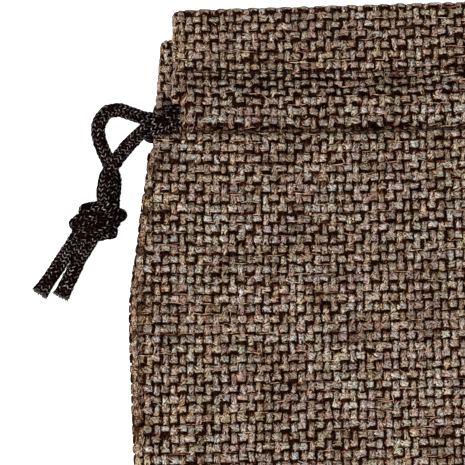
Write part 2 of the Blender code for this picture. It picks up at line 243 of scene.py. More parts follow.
FLOOR_CORD_Z = CORD / 2 + 0.05
ON_FLOOR = 0.02  # the least height of anything that lies on the floor

# The cords' routes, close to those in the part's source, from each slot outwards.
LEFT_ROWS = (43.4, 41.3)  # y in the front channel and in the back one
RIGHT_ROWS = (40.8, 38.7)
LEFT_KNOT = (-50.3, 23.2, 3.6)
RIGHT_KNOT = (50.3, 24.0, 3.6)
KNOT_STEP = 0.8
KNOT_START = (0.86, 0.0, -0.5)  # from one strand to the other
KNOT_LEVELLING = (0.8, 0.95)
KNOT_ROUTE = (
    # (x, y, z, spread)
    (2.1, 3.9, 0.0, 0.82),
    (2.0, 2.2, 0.0, 0.85),
    (1.7, 0.6, 0.0, 0.9),
    (1.7, -0.9, -0.2, 0.9),
    (2.6, -1.1, -0.7, 0.8),
    (2.7, -1.0, -1.5, 0.9),
    (1.0, -1.2, -1.9, 1.1),
    (-1.4, -1.3, -1.9, 1.15),
    (-3.2, -1.5, -1.2, 1.2),
    (-3.6, -1.5, 0.2, 1.3),
    (-2.9, -1.1, 1.5, 1.25),
    (-0.9, -0.1, 2.1, 1.2),
    (1.3, 1.0, 2.1, 1.15),
    (3.0, 1.8, 1.4, 1.15),
    (3.4, 2.0, 0.0, 1.15),
    (2.7, 1.8, -1.4, 1.1),
    (0.7, 1.6, -1.9, 1.1),
    (-1.5, 1.5, -1.6, 0.9),
    (-2.4, 1.4, -0.8, 0.8),
    (-2.2, 0.7, -0.1, 1.0),
    (-1.8, -0.7, 0.0, 1.15),
    (-2.1, -2.2, -0.3, 1.2),
    (-2.8, -3.4, -0.8, 1.2),
)
LEFT_FRONT_ROUTE = (
    (-37.2, 40.9, 8.8), (-39.8, 39.9, 8.8), (-41.8, 38.6, 7.9), (-43.7, 37.1, 6.1), (-45.7, 35.0, 4.7),
    (-47.5, 32.7, 4.1), (-48.5, 31.2, 4.1), (-48.9, 29.5, 4.1), (-49.1, 27.9, 4.1),
)
LEFT_BACK_ROUTE = (
    (-38.6, 41.0, BACK_CORD_Z), (-41.6, 41.3, 2.3), (-43.7, 42.2, 1.5), (-46.1, 43.0, FLOOR_CORD_Z),
    (-48.4, 42.6, FLOOR_CORD_Z), (-49.7, 40.6, FLOOR_CORD_Z), (-49.7, 38.0, FLOOR_CORD_Z),
    (-48.8, 35.4, FLOOR_CORD_Z), (-47.8, 33.0, 1.3), (-47.2, 31.2, 1.5), (-47.1, 29.5, 1.9),
    (-47.3, 27.9, 2.7),
)
LEFT_TAILS = (
    ((-54.6, 19.8, 2.6), (-56.2, 17.6, 1.6), (-58.5, 14.3, FLOOR_CORD_Z), (-60.9, 11.0, FLOOR_CORD_Z)),
    ((-52.5, 18.7, 2.6), (-53.9, 16.5, 1.6), (-55.6, 13.3, FLOOR_CORD_Z), (-57.2, 10.4, FLOOR_CORD_Z)),
)
LEFT_BIGHT = (
    # at the right slots
    (37.0, 43.3, 7.9), (39.1, 43.1, 7.3), (40.6, 42.8, 5.9), (40.7, 42.3, 4.3), (39.6, 41.8, 3.0),
    (37.4, 41.4, BACK_CORD_Z),
)
RIGHT_FRONT_ROUTE = (
    (37.2, 40.6, 7.95), (39.7, 39.9, 7.5), (41.8, 38.8, 6.5), (43.7, 37.5, 5.3), (45.6, 35.8, 4.5),
    (47.3, 33.7, 4.1), (48.3, 32.0, 4.1), (48.9, 30.3, 4.1), (49.1, 28.7, 4.1),
)
RIGHT_BACK_ROUTE = (
    (38.6, 39.0, BACK_CORD_Z), (41.9, 40.1, 2.2), (44.1, 41.6, 1.4), (46.2, 42.7, FLOOR_CORD_Z),
    (48.1, 42.6, FLOOR_CORD_Z), (49.5, 41.0, FLOOR_CORD_Z), (49.6, 38.6, FLOOR_CORD_Z),
    (48.7, 36.2, FLOOR_CORD_Z), (47.7, 33.9, 1.3), (47.1, 32.0, 1.5), (47.1, 30.3, 1.9), (47.3, 28.7, 2.7),
)
RIGHT_TAILS = (
    ((54.4, 20.6, 2.6), (55.8, 18.4, 1.6), (57.2, 15.0, FLOOR_CORD_Z), (58.0, 11.6, FLOOR_CORD_Z)),
    ((52.0, 19.4, 2.6), (53.0, 17.2, 1.6), (53.7, 14.4, FLOOR_CORD_Z), (53.9, 11.9, FLOOR_CORD_Z)),
)
RIGHT_BIGHT = (
    # at the left slots
    (-37.0, 39.8, 6.8), (-39.2, 39.0, 6.0), (-40.6, 38.5, 4.9), (-40.7, 38.1, 3.8), (-39.5, 37.9, 2.8),
    (-37.4, 38.4, BACK_CORD_Z),
)
CORDS = (
    # (side, seed, knot, rows, front route, back route, tails, bight)
    ("left", 5, LEFT_KNOT, LEFT_ROWS, LEFT_FRONT_ROUTE, LEFT_BACK_ROUTE, LEFT_TAILS, LEFT_BIGHT),
    ("right", 11, RIGHT_KNOT, RIGHT_ROWS, RIGHT_FRONT_ROUTE, RIGHT_BACK_ROUTE, RIGHT_TAILS, RIGHT_BIGHT),
)

# The braid of the cords, and the fibres of their cut ends.
BRAID_COLUMNS = 14
BRAID_PITCH = 0.78
BRAID_RELIEF = 0.14
BRAID_GROOVE = 0.06
BRAID_SLANT = 0.8
BRAID_UNEVEN = 0.08
BRAID_FULL = 0.14
BRAID_SIDES = 36
BRAID_STEP = 0.13
BRAID_SOFTNESS = 0.45
CUT_FLARES = ((0.22, 0.7), (0.1, 7.0))  # (how much thicker, over what length)
HIDDEN_STEP = 1.2
HIDDEN_HALF = 33.5
FIBRES = 90
FIBRE_LENGTH = (0.15, 0.6)
FIBRE_RADIUS = (0.1, 0.2)
FIBRE_RINGS = ((0.0, 1.0), (0.6, 1.0), (1.0, 0.5))  # (share of its length, of its radius)
FIBRE_SHADE = 0.3

# The weave.
WARP_PITCH = 1.52
COLUMNS_EACH_SIDE = 31
SQUEEZE = ((BOTTOM, 1.005), (-22.0, 1.0), (10.0, 0.977), (40.0, 0.948), (TOP, 0.942))  # (y, of the pitch)
BODY_ROW = 1.78
HEM_ROW = 1.6
CHANNEL_ROWS = (
    32.7, 34.5, 36.3, 37.95, 39.2, 40.7, 42.3, 44.1, 45.65, 47.1, 48.75,
    50.5, 52.1, 53.65, 55.15, 56.65, 58.2,
)
BACK_ROWS_TOP = 53.9
PAST_FOOT = 3.0  # of the lowest row below the foot
PAST_TOP = 60.0  # of the outline's end above the fold, more than the hem's depth
FRONT_HEM_DEPTH = 24.0
BACK_HEM_DEPTH = 20.5
WIDTHS = (1.05, 1.2)  # of a warp and of a weft yarn, as in the next pairs
CLOSER = (
    # (y, of the width)
    ((10.0, 1.0), (40.0, 0.96), (52.0, 0.9)),
    ((34.0, 1.0), (40.0, 0.93), (48.0, 0.93), (52.0, 0.88)),
)
NECK = 1.32  # of the width, where a yarn dives under
# How much painted light the necks' upper flanks get, for the warp and the weft.
NECK_LIGHT = (0.6, 0.7)
JITTER = (0.07, 0.09, 0.1, 0.22)  # of a crossing: aside, along in pitches, of its width, of its height
DRIFT = 0.12
LOOSER = 1.2  # more drift over the channel
LOOSER_FROM = (37.0, 40.0)
LOOSER_TO = (46.0, 49.0)
YARN_THICK = 0.6
CRIMP = 0.31
SOONER = (0.15, 0.1)  # in pitches: how much sooner a yarn rises than it dives
PHASES = ((-0.5, -0.27, 0.27), (-0.5, -0.21, 0.21))  # of its points, in pitches from each crossing
SECTION = ((0.0, 1.0), (0.76, 0.82), (1.0, 0.05), (0.0, -1.0), (-1.0, 0.05), (-0.76, 0.82))  # (side, up)
SPIN = 0.9  # of a yarn's fibres, in radians a millimetre
EDGE_INSET = -0.2  # of the yarns' middle from the outline
HEADING_INSET = 0.35  # above the seams
BAND = 0.5  # depth of the first warp yarn along the seams
GROOVE = 1.62  # depth inside the outline of the line where the seams are sewn
SEAM_FURROW = (0.45, 0.35)  # depth and width of the furrow there
SEAM_ROLL = 1.25  # radius at the seams
SLIT_ROLL = 0.75  # and at the edges above them
SEAM_DEPTH = 0.75  # of the rolled band's middle
SEAM_HEIGHT = 0.3
SEAM_KNUCKLE = 1.78
SEAM_SIDES = 10
SEAM_LAY = 2.6
SEAM_STEP = 0.3
SEAM_TURN = 0.9 * math.pi
SLIT_TURN = 0.6 * math.pi
CORE_RADIUS = SEAM_ROLL - 0.07
STRAY_FIBRES = 2100  # on the front, and half as many on the back
STRAY_POINTS = 5
STRAY_REACH = 46.0
STRAY_STEP = (0.35, 0.95)
STRAY_FREE = 0.4  # share that lies any way round
STRAY_AT_SEAM = 0.24  # share along the seams
STRAY_RADIUS = (0.055, 0.09)
STRAY_HEIGHT = (0.44, 0.62)
STITCH_ROWS = (39.0, 48.75)
STITCH_REACH = 35.5
STITCH_LENGTH = 2.6
STITCH_RADIUS = 0.15
STITCH_STEP = 0.3
STITCH_SEED = 77
STITCH_RUNS = (
    # (row, beside, lowest)
    (48.75, 0.1, 0.25),
    (48.75, -0.35, -0.2),
    (39.0, 0.35, 0.2),
    (39.0, -0.3, 0.15),
)
GROUND_DEPTH = 0.45  # of the dark sheet of painted shade below the cloth's middle
GROUND_REACH = 1.0  # round the edges
GROUND_SHALLOWER = 0.25  # towards the edges
CLOTH_RISE = 0.15  # keeps the yarns off the floor

# Colours.
# Painted glints on the cords' stitches: painted highlights.
GLINT = (0.5, 0.43, 0.42, 1.0)
GLINT_PLACE = 0.5  # in a stitch's length
GLINT_WIDTH = 0.22
GLINT_CHANCE = (0.15, 0.9)
GLINT_BREAKS = (0.4, 0.58)
CORD_GROOVE_SHADE = (0.0003, 0.0001, 0.0001, 1.0)
CORD_DARK = (0.0025, 0.0008, 0.0006, 1.0)
CORD_BROWN = (0.006, 0.0015, 0.0013, 1.0)
CORD_FIBRE = (0.022, 0.011, 0.009, 1.0)
THREAD = (0.02, 0.007, 0.004, 1.0)
THREAD_DARK = (0.009, 0.00315, 0.0018, 1.0)
# The painted shade seen through the gaps between the yarns.
GAP_SHADE_DARK = (0.016, 0.006, 0.004, 1.0)
GAP_SHADE_PALE = (0.05, 0.026, 0.018, 1.0)
YARN_SLOPES = (
    # (place, colour)
    (0.12, (0.17, 0.1, 0.08)),
    (0.28, (0.36, 0.27, 0.24)),
    (0.42, (0.54, 0.48, 0.42)),
    (0.56, (0.59, 0.49, 0.44)),
    (0.7, (0.54, 0.46, 0.37)),
    (0.85, (0.56, 0.5, 0.37)),
)
# The painted sheen: a pale grey highlight painted on the yarns' crests.
YARN_PAINTED_SHEEN = (
    (0.12, (0.37, 0.36, 0.36)),
    (0.28, (0.49, 0.51, 0.52)),
    (0.42, (0.53, 0.58, 0.59)),
    (0.54, (0.51, 0.55, 0.54)),
    (0.66, (0.53, 0.52, 0.48)),
    (0.78, (0.53, 0.48, 0.42)),
    (0.9, (0.52, 0.49, 0.39)),
)
STRAY_COLOURS = (
    (0.0, (0.1, 0.04, 0.03)),
    (0.25, (0.32, 0.15, 0.11)),
    (0.5, (0.55, 0.33, 0.22)),
    (0.75, (0.62, 0.43, 0.3)),
    (1.0, (0.66, 0.55, 0.42)),
)
STREAKS = (1.8, 7.0, 7.0)  # of the noise along and round a yarn
SPECKS = (4.0, 4.0, 4.0)
AREA_SCALE = 170.0  # of the noise over the cloth, a metre
TINT_SCALE = 210.0
FIBRE_SCALE = 1800.0
GROUND_SCALE = 900.0
PLY_SCALE = 2500.0
STREAK_RANGE = (0.38, 0.62)
SPECK_RANGE = (0.45, 0.5)
STREAK_DARK = 0.3
SPECK_DARK = 0.03
# DARKEST and the painted lighting's range and powers set the painted shade: darker and redder low in the weave and on
# the flanks away from the light.
DARKEST = 0.08
RAGGED = 1.6  # how far the noise moves the edges of crests and gaps
PAINTED_SHEEN_SPAN = (0.45, 0.75)
PAINTED_LIGHTING_RANGE = (0.44, 0.94)
PAINTED_LIGHTING_POWERS = (1.45, 1.85)
CALM = 0.4  # less speckled under the painted sheen where a yarn crests
PATCHY = 0.8
HUE_START = -0.31
PINK = (0.84, 1.02)
OLIVE = (0.85, 1.08)
SHEEN = 0.02
WHITE = (1.0, 1.0, 1.0, 1.0)

# Camera, light and floor.
FLOOR_GLOW = 0.85  # a light table, as the photograph's floor has hardly a shadow
FLOOR_GREY = (0.5, 0.5, 0.5, 1.0)
FLOOR_SHEEN = 0.5
FLOOR_HALF = 3.0
WORLD_LIGHT = 0.27
LIGHTS = (
    # (name, place, size, power), in metres and watts
    ("key", (-0.4, -0.36, 0.64), 0.18, 9.5),
    ("top", (0.25, 0.5, 0.8), 0.8, 6.5),
)
LIGHT_AIM = (-0.02, 0.02, 0.0)
CAMERA_PLACE = (-26.5, 20.6)
CAMERA_TURN = -0.03
MIDDLE_HEIGHT = 5.0  # of the pouch, from which the camera's distance is measured
LENS = 200.0
SENSOR = 36.0


def ease(start, end, value):
    """0 up to start, 1 from end, and a smooth step between them."""
    share = np.clip((value - start) / (end - start), 0.0, 1.0)
    return share * share * (3.0 - 2.0 * share)


def hump(centre, width, value):
    return np.exp(-(((value - centre) / width) ** 2))


def table(pairs, value):
    """The second column of a table at a value of its first."""
    return np.interp(value, *np.array(pairs).T)


def unit(vectors):
    return vectors / np.maximum(np.linalg.norm(vectors, axis=-1, keepdims=True), 1e-9)


# Surfaces: the height of the middle of each layer of cloth.


def opening(channel, y):
    rises, open_at, drops, closed_at = channel
    return ease(rises, open_at, y) * (1.0 - ease(drops, closed_at, y))


def dip(y):
    """How far the row at y dips at the pouch's middle."""
    return SAG * ease(-25.0, 20.0, y) * (1.0 - ease(50.0, 57.0, y))


def back_face_z(across, y):
    return np.full_like(y, BACK_OUTER + CLOTH_RISE)


def back_hem_z(y):
    return BACK_HEM + CLOTH_RISE + LIFT * opening(BACK_CHANNEL, y)


def front_hem_z(y):
    return FRONT_HEM + LIFT * (1.0 - ease(*FRONT_HEM_DROP, y))


def body_z(across, y):
    from_side = 1.0 - np.abs(across)
    from_foot = (y - BOTTOM) / 45.0
    crown = CROWN * ease(0.0, 0.12, from_side) * ease(0.0, 0.12, from_foot)
    slack = SLACK * ease(0.15, 0.9, from_side) * ease(0.1, 0.7, from_foot)
    height, turns_across, turns_up = WAVES
    inside = ease(0.0, 0.3, from_side) * ease(0.0, 0.3, from_foot)
    waves = height * np.sin(turns_across * across + turns_up * y) * inside
    return FRONT_OUTER + crown - slack + waves


def front_face_z(across, y):
    height, turns, phase = GATHERS
    gathers = height * (1.0 + np.sin(turns * across + phase))
    above = front_hem_z(y) + FOLD + (LIFT + gathers) * opening(FRONT_CHANNEL, y)
    centre, nearer = HILL_START
    rise = ease(centre + nearer * np.abs(across) ** 3, FRONT_CHANNEL[0], y)
    below = body_z(across, y) * (1.0 - rise) + (FRONT_HEM + LIFT + FOLD) * rise
    deep, wide, deep_above, wide_above = FURROWS
    furrows = deep * hump(STITCH_ROWS[0], wide, y) + deep_above * hump(STITCH_ROWS[1], wide_above, y)
    return np.where(y >= FRONT_CHANNEL[0], above, below) - furrows


class Panel:
    """The middle surface of one panel, over (x, row): row is y up its face, and then on round
    the fold at its top and down its hem inside the pouch."""

    def __init__(self, side, top, face_z, hem_z, hem_seen, facing, rows):
        self.side, self.top, self.facing = side, top, facing
        self.face_z, self.hem_z, self.hem_seen = face_z, hem_z, hem_seen
        self.rows = rows
        self.fold_start = top - EDGE + TOP_RISE
        self.outline = self.trace()

    def trace(self):
        """The outline over (x, row), with the foot's round corners and the hem's sides."""
        lowest = table(self.side, BOTTOM)
        right = []
        for degrees in range(-90, 1, 10):
            a = math.radians(degrees)
            inward, upward = FOOT_RADIUS * (math.cos(a) - 1.0), FOOT_RADIUS * (1.0 + math.sin(a))
            right.append((lowest + inward, BOTTOM + upward))
        right += [(w, y) for y, w in self.side if y > BOTTOM + FOOT_RADIUS]
        if self.facing < 0:
            right += [(w, self.hem_row(y)) for y, w in reversed(self.side) if SLIT < y < self.top]
        right.append((right[-1][0], self.top + PAST_TOP))
        left = [(-x, y) for x, y in reversed(right)]
        return np.array(right + left)

    def hem_row(self, y):
        """The row down the hem that is level with y on the face."""
        return 2.0 * self.fold_start + math.pi * ROLL - y

    def kept(self, x, row):
        """All of the face, and what can be seen of the hem."""
        level = 2 * self.top - row
        middle, ends = self.hem_seen
        return (row < self.top) | (level > middle) | ((np.abs(x) > HEM_ENDS) & (level > ends))

    def edge(self, x, row):
        """The distance inside the outline, and the level direction towards the nearest edge."""
        places = np.stack([x.ravel(), row.ravel()], 1)
        starts, ends = self.outline, np.roll(self.outline, -1, 0)
        sides = ends - starts
        lengths = (sides**2).sum(1)
        nearest = np.full(len(places), 1e9)
        toward = np.zeros_like(places)
        inside = np.zeros(len(places), bool)
        for a, b, side, length in zip(starts, ends, sides, lengths):
            share = np.clip((places - a) @ side / length, 0.0, 1.0)
            reach = a + share[:, None] * side - places
            far = np.hypot(reach[:, 0], reach[:, 1])
            closer = far < nearest
            nearest = np.where(closer, far, nearest)
            toward[closer] = reach[closer]
            crosses = (a[1] > places[:, 1]) != (b[1] > places[:, 1])
            if a[1] != b[1]:
                at = a[0] + (places[:, 1] - a[1]) / (b[1] - a[1]) * side[0]
                inside ^= crosses & (places[:, 0] < at)
        sign = np.where(inside, 1.0, -1.0)
        outward = toward * (sign / np.maximum(nearest, 1e-6))[:, None]
        return (nearest * sign).reshape(x.shape), outward.reshape(x.shape + (2,))

    def surface(self, x, row):
        """Points on the middle surface."""
        start = self.fold_start
        turn = np.clip((row - start) / ROLL, 0.0, math.pi)
        down = np.maximum(row - start - math.pi * ROLL, 0.0)
        y = np.minimum(row, start) + ROLL * np.sin(turn) - down
        across = np.clip(x / table(self.side, np.minimum(row, self.top)), -1.0, 1.0)
        rolled = self.face_z(across, np.minimum(row, start)) - self.facing * ROLL * (1.0 - np.cos(turn))
        z = np.where(down > 0.0, self.hem_z(y), rolled)
        return np.stack([x, y - dip(y) * (1.0 - across**2), z], -1)

    def lay(self, x, row, height):
        """Points that stand height above the face at (x, row), and the way that they face. Past
        the edge of a side or of the foot the surface rolls under. Also how much of that is kept,
        and the depth inside the outline."""
        seam = ease(SLIT + 1.0, SLIT - 1.0, row)
        radius = SLIT_ROLL + (SEAM_ROLL - SLIT_ROLL) * seam
        limit = SLIT_TURN + (SEAM_TURN - SLIT_TURN) * seam
        depth, way = self.edge(x, row)
        inset = HEADING_INSET + (EDGE_INSET - HEADING_INSET) * seam
        past = np.maximum(radius + inset - depth, 0.0)
        turn = past / radius
        base_x, base_row = x - way[..., 0] * past, row - way[..., 1] * past
        step = 0.05
        base = self.surface(base_x, base_row)
        by_x = self.surface(base_x + step, base_row) - self.surface(base_x - step, base_row)
        by_row = self.surface(base_x, base_row + step) - self.surface(base_x, base_row - step)
        normal = unit(np.cross(by_x, by_row)) * self.facing
        aside = unit(unit(by_x) * way[..., :1] + unit(by_row) * way[..., 1:])
        aside = unit(aside - normal * (aside * normal).sum(-1, keepdims=True))
        sine, cosine = np.sin(turn)[..., None], np.cos(turn)[..., None]
        faces = aside * sine + normal * cosine
        swing = aside * sine - normal * (1.0 - cosine)
        furrow = SEAM_FURROW[0] * hump(GROOVE, SEAM_FURROW[1], depth) * seam
        points = base + swing * radius[..., None] + faces * (height - furrow)[..., None]
        return points, faces, turn < limit, depth


def row_places(lowest, own, highest):
    """The rows' places: the body's even rows, then its own list, then the hem's even rows."""
    below = []
    y = own[0] - BODY_ROW
    while y > lowest:
        below.append(y)
        y -= BODY_ROW
    after = []
    y = own[-1] + HEM_ROW
    while y < highest:
        after.append(y)
        y += HEM_ROW
    return np.array(below[::-1] + list(own) + after)


def wander(rng, count, along, size):
    """A smooth random drift for each of count yarns, at the places along it."""
    drift = np.zeros((count,) + np.shape(along)[-1:])
    for wave, share in ((4.3, 0.35), (11.0, 0.35), (29.0, 0.3)):
        phase = rng.uniform(0.0, 2.0 * math.pi, (count, 1))
        stretch = rng.uniform(0.8, 1.25, (count, 1))
        drift += share * np.sin(2.0 * math.pi * along / (wave * stretch) + phase)
    return drift * size * 1.6


def joined(kept):
    """What is kept and has a kept neighbour in its line."""
    return kept & np.roll(kept, 1, 1) | kept & np.roll(kept, -1, 1)


def frames_on(points, faces):
    """The ways across and out of the lines of points on a face."""
    along = unit(np.gradient(points, axis=1))
    side = unit(np.cross(along, faces))
    return side, np.cross(side, along)


def respaced(points, step):
    """The line through the points, its own points a step apart, and how far along each of them is."""
    travelled = np.concatenate([[0.0], np.cumsum(np.linalg.norm(np.diff(points, axis=0), axis=1))])
    places = np.linspace(0.0, travelled[-1], max(2, round(travelled[-1] / step)))
    return np.stack([np.interp(places, travelled, values) for values in points.T], 1), places


def spokes(side, up, angles):
    return side[:, :, None] * np.cos(angles)[:, None] + up[:, :, None] * np.sin(angles)[:, None]


def flat_rings(points, side, up, sideways, upward):
    return points[:, :, None] + side[:, :, None] * sideways[..., None] + up[:, :, None] * upward[..., None]


def spun(along, spin):
    """Where each point is in its yarn: along it, and round its middle."""
    return np.stack(np.broadcast_arrays(along[:, None], 0.5 * np.cos(spin), 0.5 * np.sin(spin)), -1)


# Meshes.


def tube_quads(kept, sides):
    """The faces of closed tubes out of rings, (tube, place), joined where both are kept."""
    index = np.cumsum(kept.ravel()).reshape(kept.shape) - 1
    both = kept[:, :-1] & kept[:, 1:]
    first, second = index[:, :-1][both] * sides, index[:, 1:][both] * sides
    first, second = first[:, None], second[:, None]
    here, after = np.arange(sides), (np.arange(sides) + 1) % sides
    quads = [np.stack([first + here, first + after, second + after, second + here], -1).reshape(-1, 4)]
    edge = np.zeros_like(kept[:, :1])
    starts = kept & ~np.concatenate([edge, kept[:, :-1]], 1)
    ends = kept & ~np.concatenate([kept[:, 1:], edge], 1)
    for chosen, backward in ((starts, True), (ends, False)):
        base = index[chosen] * sides
        for k in range(1, sides - 1, 2):
            cap = np.stack([base, base + k, base + k + 1, base + min(k + 2, sides - 1)], 1)
            quads.append(cap[:, ::-1] if backward else cap)
    return np.concatenate(quads)


def tubes(name, ring, kept, values):
    """A mesh of closed tubes out of rings, (tube, place, point)."""
    quads = tube_quads(kept, ring.shape[2])
    shapes = {"strand": ring.shape}
    values = {k: np.broadcast_to(v, shapes.get(k, ring.shape[:3]))[kept] for k, v in values.items()}
    return quad_mesh(name, ring[kept].reshape(-1, 3), quads, values)


def add(name, data):
    made = bpy.data.objects.new(name, data)
    bpy.context.scene.collection.objects.link(made)
    return made


def quad_mesh(name, points, quads, values):
    mesh = bpy.data.meshes.new(name)
    corners = [list(dict.fromkeys(quad)) for quad in quads.tolist()]
    mesh.from_pydata((points * MM).tolist(), [], corners)
    for key, value in values.items():
        kind, field = ("FLOAT_VECTOR", "vector") if key == "strand" else ("FLOAT", "value")
        layer = mesh.attributes.new(key, kind, "POINT")
        layer.data.foreach_set(field, value.astype(np.float32).ravel())
    mesh.shade_smooth()
    made = add(name, mesh)
    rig.ride(made, "root")
    return made


# Cloth.


def weave(name, panel, is_warp, seed):
    """The warp or the weft of a panel, every yarn a closed tube that goes over and under."""
    rng = np.random.default_rng(seed)
    columns = np.arange(-COLUMNS_EACH_SIDE, COLUMNS_EACH_SIDE + 1)
    rows = np.arange(len(panel.rows))
    yarns, crossings = (columns, rows) if is_warp else (rows, columns)
    kind = 0 if is_warp else 1
    phases = PHASES[kind]
    places = (crossings[:, None] + np.array(phases)).ravel()
    own, cross = np.meshgrid(yarns.astype(float), places, indexing="ij")
    count = len(yarns)
    aside, shifted, widened, raised = JITTER
    here = np.repeat(rng.normal(0.0, 1.0, (4, count, len(crossings))), len(phases), 2)
    here[:, :, :: len(phases)] = rng.normal(0.0, 1.0, (4, count, len(crossings)))
    here = np.clip(here, -2.2, 2.2)
    cross = cross + shifted * here[1]
    column, row = (own, cross) if is_warp else (cross, own)
    y = np.interp(row, rows, panel.rows)
    x = column * WARP_PITCH * table(SQUEEZE, y)
    along = places * (BODY_ROW if is_warp else WARP_PITCH)
    loose = 1.0 + LOOSER * ease(*LOOSER_FROM, y) * (1.0 - ease(*LOOSER_TO, y))
    astray = wander(rng, count, along, DRIFT) * loose + aside * here[0]
    if is_warp:
        x = x + astray
    else:
        y = y + astray

    # How high each point rides, and how far over the other yarns it is.
    turns = math.pi * (own + places)
    sign = 1.0 if is_warp else -1.0
    sooner = math.pi * SOONER[kind]
    over = np.clip(1.35 * np.cos(turns) * sign, -1.0, 1.0)
    rise = np.clip(1.2 * np.cos(turns + sooner) * sign, -1.0, 1.0)
    rise = rise + raised * here[3] * (1.0 - 0.6 * np.abs(over))
    border = ease(1.3, 0.2, panel.edge(x, y)[0]) * np.where(y < SLIT, 1.0, 0.7)
    fold = hump(panel.top, 1.1, y)
    points, faces, kept, depth = panel.lay(x, y, CRIMP * rise * (1.0 - 0.85 * border) * (1.0 - 0.5 * fold))
    kept = kept & panel.kept(x, y)
    if is_warp:
        kept = kept & ((depth > BAND) | (y > SLIT))
    kept = joined(kept)

    # The tubes.
    fullness = 1.0 + wander(rng, count, along, 0.08) + rng.normal(0.0, 0.05, (count, 1))
    fullness = fullness + widened * here[2]
    fullness = fullness * table(CLOSER[kind], y)
    width = WIDTHS[kind] * fullness * (NECK + (1.0 - NECK) * np.abs(over))
    thick = YARN_THICK * (0.85 + 0.15 * fullness) * (1.0 - 0.2 * border)
    sides, ups = np.array(SECTION).T
    sideways, upward = width[..., None] * sides / 2, thick[..., None] * ups / 2
    ring = flat_rings(points, *frames_on(points, faces), sideways, upward)

    # What the material reads: a painted sheen on the crests, painted shade in the gaps and on the flanks away from the
    # light, painted light on the flanks that face it, each yarn's tone, and painted shade along the stitches and the
    # seams with random darker crossings.
    strand = spun(along, np.arctan2(ups, sides) + along[:, None] * SPIN)
    edging = ease(1.6, 0.9, depth) * (row < panel.top - 2.0)
    bare = ease(1.5, 0.5, depth) * (np.abs(row - panel.top) > 1.5) * (y > SLIT)
    middle = np.interp(np.abs(sides), (0.0, 0.76, 1.0), (1.0, 0.8, 0.2)) * (ups > 0.0)
    # painted_sheen: where the material paints a pale grey sheen, on the crests of the yarns that lie over, less near
    # the seams.
    painted_sheen = (over - 1.2 * edging)[..., None] * middle
    levels = (-1.0, 0.0, 0.8, 1.0)
    flank = np.interp(ups, levels, (0.0, 0.5, 1.0, 1.0))
    neck_flank = np.interp(ups, levels, (0.0, 0.15, NECK_LIGHT[kind], 1.0))
    flanks = neck_flank + (flank - neck_flank) * np.abs(over)[..., None]
    # Painted lighting: darker low in the weave, on the yarns' undersides and where they dive away from the light,
    # lighter where they rise towards it.
    painted_lighting = (0.5 + 0.5 * np.clip(rise / 0.8, -1.0, 1.0))[..., None] * flanks
    # Painted light at the top fold and along the bare edges above the slits.
    painted_lighting = painted_lighting + (0.2 * fold + 0.3 * bare)[..., None]
    tone = rng.random((count, 1, 1))
    # Painted shade along the lower stitch, in the seams' groove and at the very edge, with random darker crossings as
    # wear.
    painted_shade_and_wear = 0.75 * hump(STITCH_ROWS[0], 0.8, y) * (1.0 if panel.facing > 0 else 0.0) * (y < panel.top)
    painted_shade_and_wear = np.maximum(painted_shade_and_wear, 0.75 * hump(GROOVE, 0.4, depth) * (y < SLIT))
    painted_shade_and_wear = np.maximum(painted_shade_and_wear, 0.4 * ease(0.4, 0.0, depth) * (y < SLIT))
    worn = 0.4 * rng.random((count, len(crossings), 1)) ** 2
    painted_shade_and_wear = np.maximum(painted_shade_and_wear, np.broadcast_to(worn, (count, len(crossings), len(phases))).reshape(painted_shade_and_wear.shape))
    values = {"strand": strand, "painted_sheen": painted_sheen, "painted_lighting": painted_lighting, "tone": tone, "shade": painted_shade_and_wear[..., None]}
    return tubes(name, ring, kept, values)


def seam_run(panel, depth, height, step):
    """Points along the seams at a depth inside the outline, with the ways across and out."""
    outline = panel.outline[panel.outline[:, 1] < SLIT + 1.0]
    line = np.array(sorted(outline.tolist(), key=lambda p: math.atan2(p[0], -(p[1] - SLIT - 2.0))))
    line, places = respaced(line, step)
    ways = unit(np.gradient(line, axis=0))
    line = line + np.stack([-ways[:, 1], ways[:, 0]], 1) * depth
    x, row = line[None, :, 0], line[None, :, 1]
    points, faces, kept, _ = panel.lay(x, row, np.full_like(x, height))
    return points, *frames_on(points, faces), places, kept


